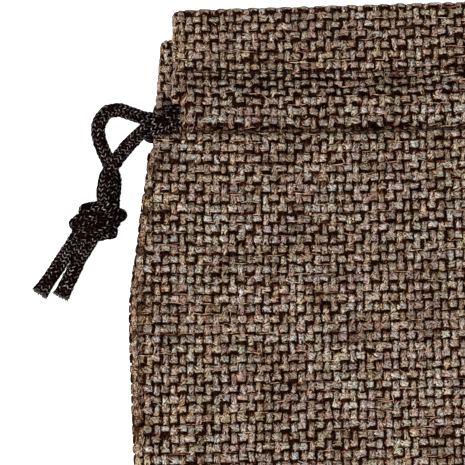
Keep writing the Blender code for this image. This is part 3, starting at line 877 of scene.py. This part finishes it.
def seam_band(name, panel, seed):
    """The rolled band outside the sewn seams: one thick loose yarn with a knuckle at each row."""
    rng = np.random.default_rng(seed)
    points, side, up, places, kept = seam_run(panel, SEAM_DEPTH, SEAM_HEIGHT, SEAM_STEP)
    phase = places / SEAM_KNUCKLE + wander(rng, 1, places[None], 0.25)[0]
    knuckle = np.abs(np.sin(math.pi * phase)) ** 0.6
    number = np.floor(phase).astype(int) - int(np.floor(phase).min())
    wider, tone, painted_sheen, dark = rng.random((4, number.max() + 1))[:, number]
    angles = np.arange(SEAM_SIDES) * 2.0 * math.pi / SEAM_SIDES
    plies = np.abs(np.sin(1.5 * angles - places[:, None] * math.pi / SEAM_LAY * panel.facing)) ** 0.7
    size = 0.86 + 0.14 * plies + rng.normal(0.0, 0.03, plies.shape)
    half_wide = (0.4 + 0.14 * knuckle + 0.12 * (wider - 0.5))[:, None] * size
    half_thick = (0.26 + 0.12 * knuckle)[:, None] * size
    drift = wander(rng, 1, places[None], 0.08)[0] + 0.12 * (tone - 0.5)
    sideways = half_wide * np.cos(angles) + drift[:, None]
    ring = flat_rings(points, side, up, sideways[None], (half_thick * np.sin(angles))[None])
    # Painted shade between the knuckles, in the plies' grooves and on the band's underside.
    painted_lighting = (0.25 + 0.75 * knuckle)[:, None] * (0.55 + 0.45 * np.sin(angles)) * (0.6 + 0.4 * plies) + 0.15
    # A painted sheen on some knuckles at random; random dark notches, and painted shade between the knuckles.
    values = {
        "strand": spun(places, angles + places[:, None] * SPIN),
        "painted_sheen": (0.1 + 0.8 * painted_sheen**2)[:, None],
        "painted_lighting": painted_lighting,
        "tone": (0.3 + 0.6 * tone)[:, None],
        "shade": (0.8 * (dark > 0.82) + 0.3 * (1.0 - knuckle))[:, None],
    }
    return tubes(name, ring, kept, values)


def seam_core(name, panel):
    """The turned-in cloth inside the rolled edge of a seam, as one dark roll."""
    points, side, up, _, kept = seam_run(panel, SEAM_ROLL + EDGE_INSET - 0.3, -SEAM_ROLL, 1.0)
    ring = points[:, :, None] + spokes(side, up, np.arange(8) * math.pi / 4) * CORE_RADIUS
    return tubes(name, ring, kept, {})


def stray_fibres(name, panel, seed, count):
    """Loose fibres on the cloth, most of them along the gaps between the rows."""
    rng = np.random.default_rng(seed)
    steps = np.arange(STRAY_POINTS) - (STRAY_POINTS - 1) / 2
    rows = np.arange(len(panel.rows))
    lines = rng.integers(0, len(rows) - 1, count) + 0.5 + rng.normal(0.0, 0.12, count)
    free = rng.random(count) < STRAY_FREE
    lines = np.where(free, rng.uniform(0.0, len(rows) - 1.0, count), lines)
    start_y = np.interp(lines, rows, panel.rows)
    start_x = rng.uniform(-STRAY_REACH, STRAY_REACH, count)
    angle = np.where(free, rng.uniform(0.0, math.pi, count), rng.normal(0.0, 0.06, count))
    stretch = rng.uniform(*STRAY_STEP, count) * np.where(free, 0.6, 1.0)

    # Some of them lie along the sides instead.
    at_side = (rng.random(count) < STRAY_AT_SEAM) & (np.abs(start_y - panel.top - 0.5) > 2.0)
    level = np.where(start_y > panel.top, panel.hem_row(start_y), start_y)
    outward = table(panel.side, level) - rng.uniform(0.3, 1.7, count)
    start_x = np.where(at_side, outward * np.sign(start_x), start_x)
    angle = np.where(at_side, rng.normal(1.3, 0.2, count), angle)
    stretch = np.where(at_side, 0.55 * stretch, stretch)

    curl = rng.normal(0.0, 0.05, count)
    sway = 0.12 * np.sin(steps * 1.3 + rng.uniform(0, 6, (count, 1)))
    turn = angle[:, None] + curl[:, None] * steps + sway
    x = start_x[:, None] + stretch[:, None] * np.cumsum(np.cos(turn), 1)
    y = start_y[:, None] + stretch[:, None] * np.cumsum(np.sin(turn), 1)
    height = rng.uniform(*STRAY_HEIGHT, (count, 1))
    height = height + 0.09 * np.sin(steps * 1.9 + rng.uniform(0, 6, (count, 1)))
    points, faces, kept, depth = panel.lay(x, y, height)
    kept = joined(kept & (depth > 0.0) & panel.kept(x, y))
    angles = np.array([0.5, 1.0 + 1 / 6, 2.0 - 1 / 6]) * math.pi
    taper = 1.0 - 0.6 * np.abs(steps / steps[-1]) ** 3
    radius = rng.uniform(*STRAY_RADIUS, (count, 1)) * taper
    tone = rng.random(count)
    tone = np.where(at_side, 0.55 + 0.4 * tone, tone)
    ring = points[:, :, None] + spokes(*frames_on(points, faces), angles) * radius[..., None, None]
    ring[..., 2] = np.maximum(ring[..., 2], ON_FLOOR)
    return tubes(name, ring, kept, {"tone": tone[:, None, None]})


def stitches(name, panel, seed):
    """The sewn lines along the channel: dark thread that dips at every stitch, in two loose runs."""
    rng = np.random.default_rng(seed)
    runs = []
    places = np.arange(-STITCH_REACH, STITCH_REACH, STITCH_STEP)
    for row, to_side, lowest in STITCH_RUNS:
        phase = places / STITCH_LENGTH + rng.random()
        y = row + to_side + wander(rng, 1, places[None], 0.09)[0]
        height = lowest + 0.4 * np.abs(np.sin(math.pi * phase)) ** 0.7
        runs.append((places, y, height))
    x, y, height = (np.stack(v) for v in zip(*runs))
    points, faces, kept, depth = panel.lay(x, y, height)
    radius = STITCH_RADIUS * (1.0 + rng.normal(0.0, 0.12, x.shape))
    around = spokes(*frames_on(points, faces), np.arange(6) * math.pi / 3)
    return tubes(name, points[:, :, None] + around * radius[..., None, None], kept & (depth > 0.6), {})


def ground(name, panel):
    """A dark sheet of painted shade below the yarns, seen through the gaps between them, with the panel's folds."""
    outer = np.arange(27.5, COLUMNS_EACH_SIDE + 0.5, 0.5)
    columns = np.concatenate([-outer[::-1], np.arange(-27.0, 28.0), outer])
    rows = np.arange(len(panel.rows))
    fold = [k + share for k in rows[:-1] if abs(panel.rows[k] - panel.top) < 2.5 for share in (0.33, 0.67)]
    column, row = np.meshgrid(columns, np.sort(np.concatenate([rows, fold])), indexing="ij")
    y = np.interp(row, rows, panel.rows)
    whole_x = column * WARP_PITCH * table(SQUEEZE, y)
    limit = table(panel.side, np.minimum(y, panel.top)) + GROUND_REACH
    x = np.clip(whole_x, -limit, limit)
    near = np.maximum(hump(panel.top, 1.6, y), ease(1.6, 0.6, panel.edge(x, y)[0]))
    points, _, kept, _ = panel.lay(x, y, -GROUND_DEPTH + GROUND_SHALLOWER * near)
    kept = kept & (np.abs(whole_x - x) < 0.7)
    index = np.cumsum(kept.ravel()).reshape(kept.shape) - 1
    whole = kept[:-1, :-1] & kept[1:, :-1] & kept[1:, 1:] & kept[:-1, 1:]
    corners = [index[:-1, :-1], index[1:, :-1], index[1:, 1:], index[:-1, 1:]]
    quads = np.stack([c[whole] for c in corners], 1)
    if panel.facing < 0:
        quads = quads[:, ::-1]
    return quad_mesh(name, points[kept], quads, {})


# Cords.


def smooth_line(points, step):
    """Points about a step apart on a smooth curve through the given ones."""
    knots = [Vector(p) for p in points]
    knots = [knots[0] * 2.0 - knots[1]] + knots + [knots[-1] * 2.0 - knots[-2]]
    line = [knots[1]]
    for a, b, c, d in zip(knots, knots[1:], knots[2:], knots[3:]):
        pieces = max(1, round((c - b).length / step))
        for k in range(1, pieces + 1):
            t = k / pieces
            swing = (2.0 * a - 5.0 * b + 4.0 * c - d) * t**2 + (3.0 * b - a - 3.0 * c + d) * t**3
            line.append(0.5 * (2.0 * b + (c - a) * t + swing))
    return line


def channel_run(start, end, y, z):
    """Points along a channel from X = start to X = end, on the row's dip."""
    count = max(1, round(abs(end - start) / CHANNEL_STEP))
    points = []
    for k in range(count + 1):
        x = start + (end - start) * k / count
        points.append((x, y - SAG * (1.0 - (x / CHANNEL_HALF) ** 2), z))
    return points


def knot_strands(centre):
    """The two strands of a knot, side by side along its route, from its top to its tails."""
    line = smooth_line([row[:3] for row in KNOT_ROUTE], KNOT_STEP)
    places = np.linspace(0.0, len(KNOT_ROUTE) - 1, len(line))
    spreads = np.interp(places, range(len(KNOT_ROUTE)), [row[3] for row in KNOT_ROUTE])
    apart = Vector(KNOT_START)
    strands = ([], [])
    for k, place in enumerate(line):
        along = (line[min(k + 1, len(line) - 1)] - line[max(k - 1, 0)]).normalized()
        level = Vector((-along.y, along.x, 0.0)).normalized()
        apart = apart.lerp(level, float(ease(*KNOT_LEVELLING, k / len(line))))
        apart = (apart - along * apart.dot(along)).normalized()
        strands[0].append(place + apart * float(spreads[k]))
        strands[1].append(place - apart * float(spreads[k]))
    x, y, z = centre
    flip = -1.0 if x > 0.0 else 1.0
    return [[(x + p.x * flip, y + p.y, z + p.z) for p in strand] for strand in strands]


def even_line(points, step, softness):
    """The line through the points, a step apart, its corners softened."""
    line, _ = respaced(np.array([tuple(p) for p in points]), step)
    reach = round(3 * softness / step)
    weights = np.exp(-((np.arange(-reach, reach + 1) * step / softness) ** 2) / 2)
    before, after = 2 * line[0] - line[reach:0:-1], 2 * line[-1] - line[-2 : -reach - 2 : -1]
    padded = np.concatenate([before, line, after])
    soft = [np.convolve(padded[:, k], weights / weights.sum(), mode="valid") for k in range(3)]
    return np.stack(soft, 1)


def frames_along(line):
    """A direction across the line at each point, turning as little as it can."""
    along = unit(np.gradient(line, axis=0))
    across = np.zeros_like(line)
    current = np.cross(along[0], (0.0, 0.0, 1.0))
    for k, way in enumerate(along):
        current = current - way * (current @ way)
        current = current / np.linalg.norm(current)
        across[k] = current
    return along, across, np.cross(along, across)


def braid(name, points, seed, hidden_half=None, cut=False):
    """A braided cord through the points, in columns of slanted stitches that meet in chevrons. It
    has fewer rings within hidden_half of the pouch's middle. Also its path."""
    rng = np.random.default_rng(seed)
    line = even_line(points, BRAID_STEP, BRAID_SOFTNESS)
    along, across, up = frames_along(line)
    travelled = np.arange(len(line)) * BRAID_STEP
    if hidden_half:
        shown = np.abs(line[:, 0]) >= hidden_half
        shown |= np.arange(len(line)) % round(HIDDEN_STEP / BRAID_STEP) == 0
        shown[[0, -1]] = True
        line, across, up, travelled = line[shown], across[shown], up[shown], travelled[shown]
    angles = np.linspace(0.0, 2.0 * math.pi, BRAID_SIDES, endpoint=False)
    column = angles / (2.0 * math.pi) * BRAID_COLUMNS
    local = 2.0 * (column - np.floor(column)) - 1.0
    slant = np.where(np.floor(column) % 2 == 0, 1.0, -1.0)
    phase = travelled[:, None] / BRAID_PITCH - slant * local * BRAID_SLANT / 2.0
    bulge = np.abs(np.sin(math.pi * phase)) ** 0.7
    stitch = np.floor(phase).astype(int)
    tension = rng.uniform(-BRAID_UNEVEN, BRAID_UNEVEN, (stitch.max() - stitch.min() + 1, BRAID_COLUMNS))
    tension = tension[stitch - stitch.min(), np.floor(column).astype(int)]
    relief = BRAID_RELIEF * (bulge - 1.0) - BRAID_GROOVE * np.abs(local) ** 6 + tension * bulge
    radius = CORD / 2 + BRAID_FULL + relief
    if cut:
        far = (travelled[-1] - travelled)[:, None]
        radius = radius + sum(thicker * np.exp(-far / length) for thicker, length in CUT_FLARES)
    ring = line[:, None] + spokes(across[None], up[None], angles)[0] * radius[..., None]
    strand = np.stack(np.broadcast_arrays(travelled[:, None], np.cos(angles), np.sin(angles)), -1)
    points = ring.reshape(-1, 3)
    quads = tube_quads(np.ones((1, len(line)), bool), BRAID_SIDES)
    # painted_lighting: low in the grooves between the stitches, where the material paints shade.
    values = {"strand": strand.reshape(-1, 3), "tuft": np.zeros(bulge.size), "painted_lighting": bulge.ravel()}
    if cut:
        end = (line[-1], along[-1], across[-1], up[-1])
        points, quads, values = with_fibres(points, quads, values, rng, *end)
    points[:, 2] = np.maximum(points[:, 2], ON_FLOOR)
    return quad_mesh(name, points, quads, values), line


def with_fibres(points, quads, values, rng, centre, way, across, up):
    """Adds the cut end's fibres: thin tapered tufts that spread a little."""
    fibres = []
    for _ in range(FIBRES):
        angle, far = rng.uniform(0.0, 2.0 * math.pi), math.sqrt(rng.random()) * 1.3
        out = across * math.cos(angle) + up * math.sin(angle)
        root = centre + out * far - way * 0.25
        lean = unit(way + out * rng.uniform(-0.05, 0.45) * far + across * rng.normal(0.0, 0.15))
        length = rng.uniform(*FIBRE_LENGTH) + 0.25
        thick = rng.uniform(*FIBRE_RADIUS)
        upright = np.cross(lean, across)
        for share, size in FIBRE_RINGS:
            bend = out * 0.12 * share**2
            for turn in (0.0, 0.5, 1.0, 1.5):
                spoke = across * math.cos(turn * math.pi) + upright * math.sin(turn * math.pi)
                fibres.append(root + lean * length * share + bend + spoke * thick * size)
    more = tube_quads(np.ones((FIBRES, len(FIBRE_RINGS)), bool), 4) + len(points)
    extra = len(fibres)
    values = {k: np.concatenate([v, np.full((extra,) + v.shape[1:], FIBRE_SHADE)]) for k, v in values.items()}
    values["tuft"][-extra:] = rng.random(extra)
    return np.concatenate([points, fibres]), np.concatenate([quads, more]), values


# Materials.


class Nodes:
    """Short calls for a material's nodes."""

    def __init__(self, name, roughness, specular=SHEEN):
        self.material = bpy.data.materials.new(name)
        self.material.use_nodes = True
        self.tree = self.material.node_tree
        self.shader = self.tree.nodes["Principled BSDF"]
        self.shader.inputs["Roughness"].default_value = roughness
        self.shader.inputs["Specular IOR Level"].default_value = specular

    def node(self, kind, **values):
        """A node: its settings start with a small letter, its inputs with a capital or _ and a number."""
        made = self.tree.nodes.new("ShaderNode" + kind)
        for key, value in values.items():
            if key[0].islower():
                setattr(made, key, value)
            else:
                self.feed(made.inputs[int(key[1:]) if key[0] == "_" else key], value)
        return made

    def feed(self, socket, value):
        if isinstance(value, bpy.types.NodeSocket):
            self.tree.links.new(value, socket)
        else:
            socket.default_value = value

    def coloured(self, colour):
        """The material, in that colour."""
        self.feed(self.shader.inputs["Base Color"], colour)
        return self.material

    def attribute(self, name):
        made = self.node("Attribute", attribute_name=name)
        return made.outputs["Vector"] if name == "strand" else made.outputs["Fac"]

    def place(self):
        return self.node("TexCoord").outputs["Object"]

    def vector(self, x, y=0.0, z=0.0):
        return self.node("CombineXYZ", _0=x, _1=y, _2=z).outputs[0]

    def math(self, operation, a, b=0.0, c=0.0):
        return self.node("Math", operation=operation, _0=a, _1=b, _2=c).outputs[0]

    def times(self, a, b, plus=0.0):
        return self.math("MULTIPLY_ADD", a, b, plus)

    def span(self, value, low, high, to_low, to_high):
        made = self.node("MapRange", interpolation_type="SMOOTHSTEP", _0=value, _1=low, _2=high)
        self.feed(made.inputs[3], to_low)
        self.feed(made.inputs[4], to_high)
        return made.outputs[0]

    def mix(self, share, a, b, blend="MIX"):
        return self.node("Mix", data_type="RGBA", blend_type=blend, _0=share, _6=a, _7=b).outputs[2]

    def stretched(self, vector, stretch, shift=(0.0, 0.0, 0.0)):
        made = self.node("VectorMath", operation="MULTIPLY_ADD", _0=vector, _1=stretch, _2=shift)
        return made.outputs[0]

    def noise(self, vector, scale, detail=2.0, roughness=0.5):
        made = self.node("TexNoise", Vector=vector, Scale=scale, Detail=detail, Roughness=roughness)
        return made.outputs["Fac"]

    def ramp(self, value, stops):
        made = self.node("ValToRGB", Fac=value)
        elements = made.color_ramp.elements
        while len(elements) < len(stops):
            elements.new(0.5)
        for element, (place, colour) in zip(elements, stops):
            element.position = place
            element.color = (*colour, 1.0)
        return made.outputs["Color"]

    def brown(self, colour, value, low, high, darkest, brightest, green=1.25, blue=1.5):
        """The colour times a number, redder where that is darker."""
        amount = self.span(value, low, high, darkest, brightest)
        tint = self.vector(amount, self.math("POWER", amount, green), self.math("POWER", amount, blue))
        return self.mix(1.0, colour, tint, "MULTIPLY")

    def bump(self, height, strength, distance):
        made = self.node("Bump", Height=height, Strength=strength, Distance=distance)
        self.feed(self.shader.inputs["Normal"], made.outputs["Normal"])


def yarn_material(name, shift, gold=0.0):
    """Melange yarn: spun fibres of mixed browns, with a painted grey sheen where they crest and painted shade in the
    gaps and on the flanks away from the light.
    """
    made = Nodes(name, 0.85)
    strand, tone = made.attribute("strand"), made.attribute("tone")
    offset = made.vector(made.times(tone, 91.0), shift, tone)
    place = made.place()
    patches = made.noise(made.stretched(strand, (0.5, 0.6, 0.6), offset), 1.0, 2.0, 0.6)
    streaks = made.noise(made.stretched(strand, STREAKS, offset), 1.0, 2.0, 0.7)
    specks = made.noise(made.stretched(strand, SPECKS, offset), 1.0, 1.0, 0.6)
    areas = made.noise(place, AREA_SCALE, 4.0, 0.7)
    hue = made.times(patches, PATCHY, made.times(tone, 0.25, gold + HUE_START))
    hue = made.times(areas, 0.65, hue)
    ragged = made.times(made.math("ADD", streaks, specks), 0.5, -0.5)
    # top: where the painted sheen lies, on each yarn's crest.
    top = made.span(made.times(ragged, RAGGED, made.attribute("painted_sheen")), *PAINTED_SHEEN_SPAN, 0.0, 1.0)
    colour = made.mix(top, made.ramp(hue, YARN_SLOPES), made.ramp(hue, YARN_PAINTED_SHEEN))
    # painted_lighting: painted shade low in the weave and on the flanks away from the light, lighter on the flanks
    # that face it.
    painted_lighting = made.times(ragged, RAGGED, made.attribute("painted_lighting"))
    colour = made.brown(colour, painted_lighting, *PAINTED_LIGHTING_RANGE, DARKEST, 1.0, *PAINTED_LIGHTING_POWERS)
    colour = made.brown(colour, streaks, *STREAK_RANGE, STREAK_DARK, 1.0)
    specked = made.brown(colour, specks, *SPECK_RANGE, SPECK_DARK, 1.0)
    colour = made.mix(made.times(top, CALM), specked, colour)
    colour = made.brown(colour, areas, 0.35, 0.65, 0.62, 1.0)
    # shade: painted shade along the stitches, in the seams' groove and at the edges, with random darker crossings.
    colour = made.brown(colour, made.attribute("shade"), 0.0, 1.0, 1.0, 0.15)
    far = made.stretched(place, (1.0, 1.0, 1.0), (0.0, 0.0, 5.0))
    pink = made.span(made.noise(place, TINT_SCALE, 3.0, 0.7), 0.35, 0.65, *PINK)
    olive = made.span(made.noise(far, TINT_SCALE, 3.0, 0.7), 0.35, 0.65, *OLIVE)
    made.bump(streaks, 0.5, 0.08 * MM)
    return made.coloured(made.mix(1.0, colour, made.vector(1.0, pink, made.times(olive, pink)), "MULTIPLY"))


def fibre_material(name):
    made = Nodes(name, 0.8)
    colour = made.ramp(made.attribute("tone"), STRAY_COLOURS)
    return made.coloured(made.brown(colour, made.noise(made.place(), FIBRE_SCALE, 1.0), 0.35, 0.6, 0.3, 1.0))


def ground_material(name):
    # Painted shade for the sheet beneath the yarns, mottled.
    made = Nodes(name, 0.95)
    mottle = made.noise(made.place(), GROUND_SCALE)
    made.bump(mottle, 0.4, 0.1 * MM)
    return made.coloured(made.mix(mottle, GAP_SHADE_DARK, GAP_SHADE_PALE))


def thread_material(name):
    made = Nodes(name, 0.9)
    ply = made.noise(made.place(), PLY_SCALE)
    made.bump(ply, 0.5, 0.05 * MM)
    return made.coloured(made.mix(ply, THREAD_DARK, THREAD))


def cord_material(name):
    """Dark filament braid with a reddish cast, painted shade in its grooves and a painted glint, a painted highlight,
    along many of its stitches.
    """
    made = Nodes(name, 0.8, 0.0)
    strand = made.attribute("strand")
    parts = made.node("SeparateXYZ", _0=strand).outputs
    turn = made.math("ARCTAN2", parts[2], parts[1])
    column = made.times(turn, BRAID_COLUMNS / (2.0 * math.pi), 2.0 * BRAID_COLUMNS)
    number = made.math("FLOOR", column)
    local = made.times(made.math("SUBTRACT", column, number), 2.0, -1.0)
    slant = made.times(made.math("MODULO", number, 2.0), BRAID_SLANT, -BRAID_SLANT / 2.0)
    phase = made.times(parts[0], 1.0 / BRAID_PITCH, made.times(local, slant))
    stitch = made.math("FLOOR", phase)
    middle = made.math("SUBTRACT", made.math("SUBTRACT", phase, stitch), GLINT_PLACE)
    chance = made.node("TexWhiteNoise", Vector=made.vector(stitch, number)).outputs["Value"]
    fibres = made.noise(made.stretched(strand, (3.0, 7.0, 7.0)), 1.0, 2.0, 0.7)
    patches = made.noise(made.stretched(strand, (0.6, 1.0, 1.0)), 1.0, 1.0)
    body = made.mix(made.span(patches, 0.35, 0.65, 0.0, 1.0), CORD_BROWN, CORD_DARK)
    body = made.mix(made.span(fibres, 0.52, 0.72, 0.0, 1.0), body, CORD_FIBRE)
    # Painted shade in the braid's grooves, where the relief is low.
    body = made.mix(made.span(made.attribute("painted_lighting"), 0.3, 0.95, 0.0, 1.0), CORD_GROOVE_SHADE, body)
    # Painted glints: a painted highlight along many stitches.
    share = made.span(made.math("ABSOLUTE", middle), 0.0, GLINT_WIDTH, 1.0, 0.0)
    for part in (
        made.span(made.math("ABSOLUTE", local), 0.35, 0.95, 1.0, 0.0),
        made.span(chance, *GLINT_CHANCE, 0.0, 1.0),
        made.span(fibres, *GLINT_BREAKS, 0.0, 1.0),
        made.span(patches, 0.3, 0.6, 0.45, 1.0),
    ):
        share = made.times(share, part)
    share = made.math("MAXIMUM", share, made.span(made.attribute("tuft"), 0.7, 1.0, 0.0, 0.12))
    return made.coloured(made.mix(share, body, GLINT))


# Camera, light and floor.


def camera():
    """Straight above, over the pouch's upper left corner, and turned as in the photograph."""
    data = bpy.data.cameras.new("camera")
    data.lens, data.sensor_width = LENS, SENSOR
    data.clip_start, data.clip_end = 0.01, 10.0
    distance = IMAGE_SIDE * PIXEL * LENS / SENSOR
    made = add("camera", data)
    made.location = Vector((*CAMERA_PLACE, distance + MIDDLE_HEIGHT)) * MM
    made.rotation_euler = (0.0, 0.0, CAMERA_TURN)
    bpy.context.scene.camera = made


def area_light(name, place, size, power):
    data = bpy.data.lights.new(name, "AREA")
    data.shape, data.size, data.energy = "DISK", size, power
    made = add(name, data)
    made.location = place
    aim = Vector(LIGHT_AIM) - Vector(place)
    made.rotation_euler = aim.to_track_quat("-Z", "Y").to_euler()


def studio():
    scene = bpy.context.scene
    scene.view_settings.view_transform = "Standard"
    scene.world = bpy.data.worlds.new("studio")
    scene.world.use_nodes = True
    background = scene.world.node_tree.nodes["Background"].inputs
    background["Color"].default_value = WHITE
    background["Strength"].default_value = WORLD_LIGHT
    for light in LIGHTS:
        area_light(*light)
    mesh = bpy.data.meshes.new("floor")
    far = FLOOR_HALF
    mesh.from_pydata([(-far, -far, 0), (far, -far, 0), (far, far, 0), (-far, far, 0)], [], [(0, 1, 2, 3)])
    look = Nodes("floor", 0.9, FLOOR_SHEEN)
    look.feed(look.shader.inputs["Emission Color"], WHITE)
    look.feed(look.shader.inputs["Emission Strength"], FLOOR_GLOW)
    mesh.materials.append(look.coloured(FLOOR_GREY))
    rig.stage(add("floor", mesh))


# The pieces.


def wear(piece, material, slot="woven_cloth"):
    piece.data.materials.append(material)
    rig.slot(piece, slot)
    return piece


def cord_set(side, seed, knot, rows, front_route, back_route, tails, bight, material):
    """One drawcord as three pieces: a strand from each of its slots to its cut end, through the
    knot, and the stretch between the slots, through both channels and round the far side."""
    strands = knot_strands(knot)
    near = math.copysign(CHANNEL_HALF, knot[0])
    inward = -math.copysign(SLOT_OVERLAP, near)
    front_y, back_y = rows
    runs = (
        ("front", strands[1], front_route, tails[0], front_y, FRONT_CORD_Z),
        ("back", strands[0], back_route, tails[1], back_y, BACK_CORD_Z),
    )
    made = []
    for number, (name, strand, route, tail, y, z) in enumerate(runs):
        outside = [(near + inward, y, z), (near, y, z), *route]
        points = smooth_line(outside, CORD_STEP) + strand + smooth_line(tail, CORD_STEP)
        piece, path = braid(f"{side}_cord_{name}", points, seed + number, cut=True)
        made.append((wear(piece, material, "braided_cord"), path, outside[1]))
    route = [(near + inward, front_y, FRONT_CORD_Z)]
    route += channel_run(near + 3 * inward, -near, front_y, FRONT_CORD_Z) + list(bight)
    route += channel_run(-near, near + 3 * inward, back_y, BACK_CORD_Z)
    route += [(near + inward, back_y, BACK_CORD_Z)]
    piece, path = braid(f"{side}_cord_inside", smooth_line(route, CORD_STEP), seed + 2, HIDDEN_HALF)
    wear(piece, material, "braided_cord")
    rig.replaces(made[0][0], f"{side}_knot", f"{side}_tail_1")
    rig.replaces(made[1][0], f"{side}_tail_2")
    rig.replaces(piece, f"{side}_drawcord")
    for strand_piece, strand_path, slot_point in made:
        declare_cord(strand_piece, strand_path, slot_point, "bare")
    declare_cord(piece, path, route[0], "object")


def declare_cord(piece, path, exit_point, far_end):
    length = float(np.linalg.norm(np.diff(path, axis=0), axis=1).sum())
    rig.cord(
        piece,
        exit=tuple(c * MM for c in exit_point),
        length=length * MM,
        diameter=CORD * MM,
        far_end=far_end,
        stiffness="limp",
        lay="loose",
        path=(path * MM).tolist(),
    )


def cloth(name, panel, seed, flat, rests_on, strays, under, fibre, thread=None):
    """A panel's pieces: its yarns, a dark sheet of painted shade beneath them, its rolled seams, its loose fibres and,
    with a thread, its stitches."""
    warp = wear(weave(f"{name}_warp", panel, True, seed), yarn_material(f"{name}_warp", 3.0))
    weft = wear(weave(f"{name}_weft", panel, False, seed + 1), yarn_material(f"{name}_weft", 17.0))
    # under is the dark painted-shade material: the sheet beneath the yarns stands for the shade seen through their
    # gaps.
    sheet = wear(ground(f"{name}_cloth", panel), under)
    band = wear(seam_band(f"{name}_seam", panel, seed + 2), yarn_material(f"{name}_seam", 29.0, 0.12))
    # The seam's core wears the same painted shade.
    core = wear(seam_core(f"{name}_seam_core", panel), under)
    loose = wear(stray_fibres(f"{name}_fibres", panel, seed + 3, strays), fibre)
    others = [warp, weft, band, core, loose]
    if thread:
        others.append(wear(stitches(f"{name}_stitches", panel, STITCH_SEED), thread))
    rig.replaces(sheet, f"{name}_panel")
    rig.sheet(sheet, flat=flat, held="gathered", rests_on=rests_on, with_pieces=others)


def main():
    camera()
    cord_look = cord_material("braided_cord")
    for cord in CORDS:
        cord_set(*cord, cord_look)
    foot = BOTTOM - PAST_FOOT
    front_rows = row_places(foot, CHANNEL_ROWS, TOP + FRONT_HEM_DEPTH)
    back_rows = row_places(foot, (BACK_ROWS_TOP,), TOP_BACK + BACK_HEM_DEPTH)
    front = Panel(FRONT_SIDE, TOP, front_face_z, front_hem_z, FRONT_HEM_SEEN, 1.0, front_rows)
    back = Panel(BACK_SIDE, TOP_BACK, back_face_z, back_hem_z, BACK_HEM_SEEN, -1.0, back_rows)
    # The first look is the dark painted shade, for the sheet beneath the yarns and the seams' cores.
    looks = (ground_material("painted_gap_shade"), fibre_material("loose_fibres"))
    thread = thread_material("thread")
    cloth("front", front, 21, (0.098, 0.148), ["back_cloth"], STRAY_FIBRES, *looks, thread)
    cloth("back", back, 41, (0.098, 0.144), [], STRAY_FIBRES // 2, *looks)
    studio()
    low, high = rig.bounds()
    sizes = {"cad": [list(c) for c in cad_box], "visual": [list(low), list(high)]}
    with open("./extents.json", "w") as file:
        json.dump(sizes, file, indent=1)


main()
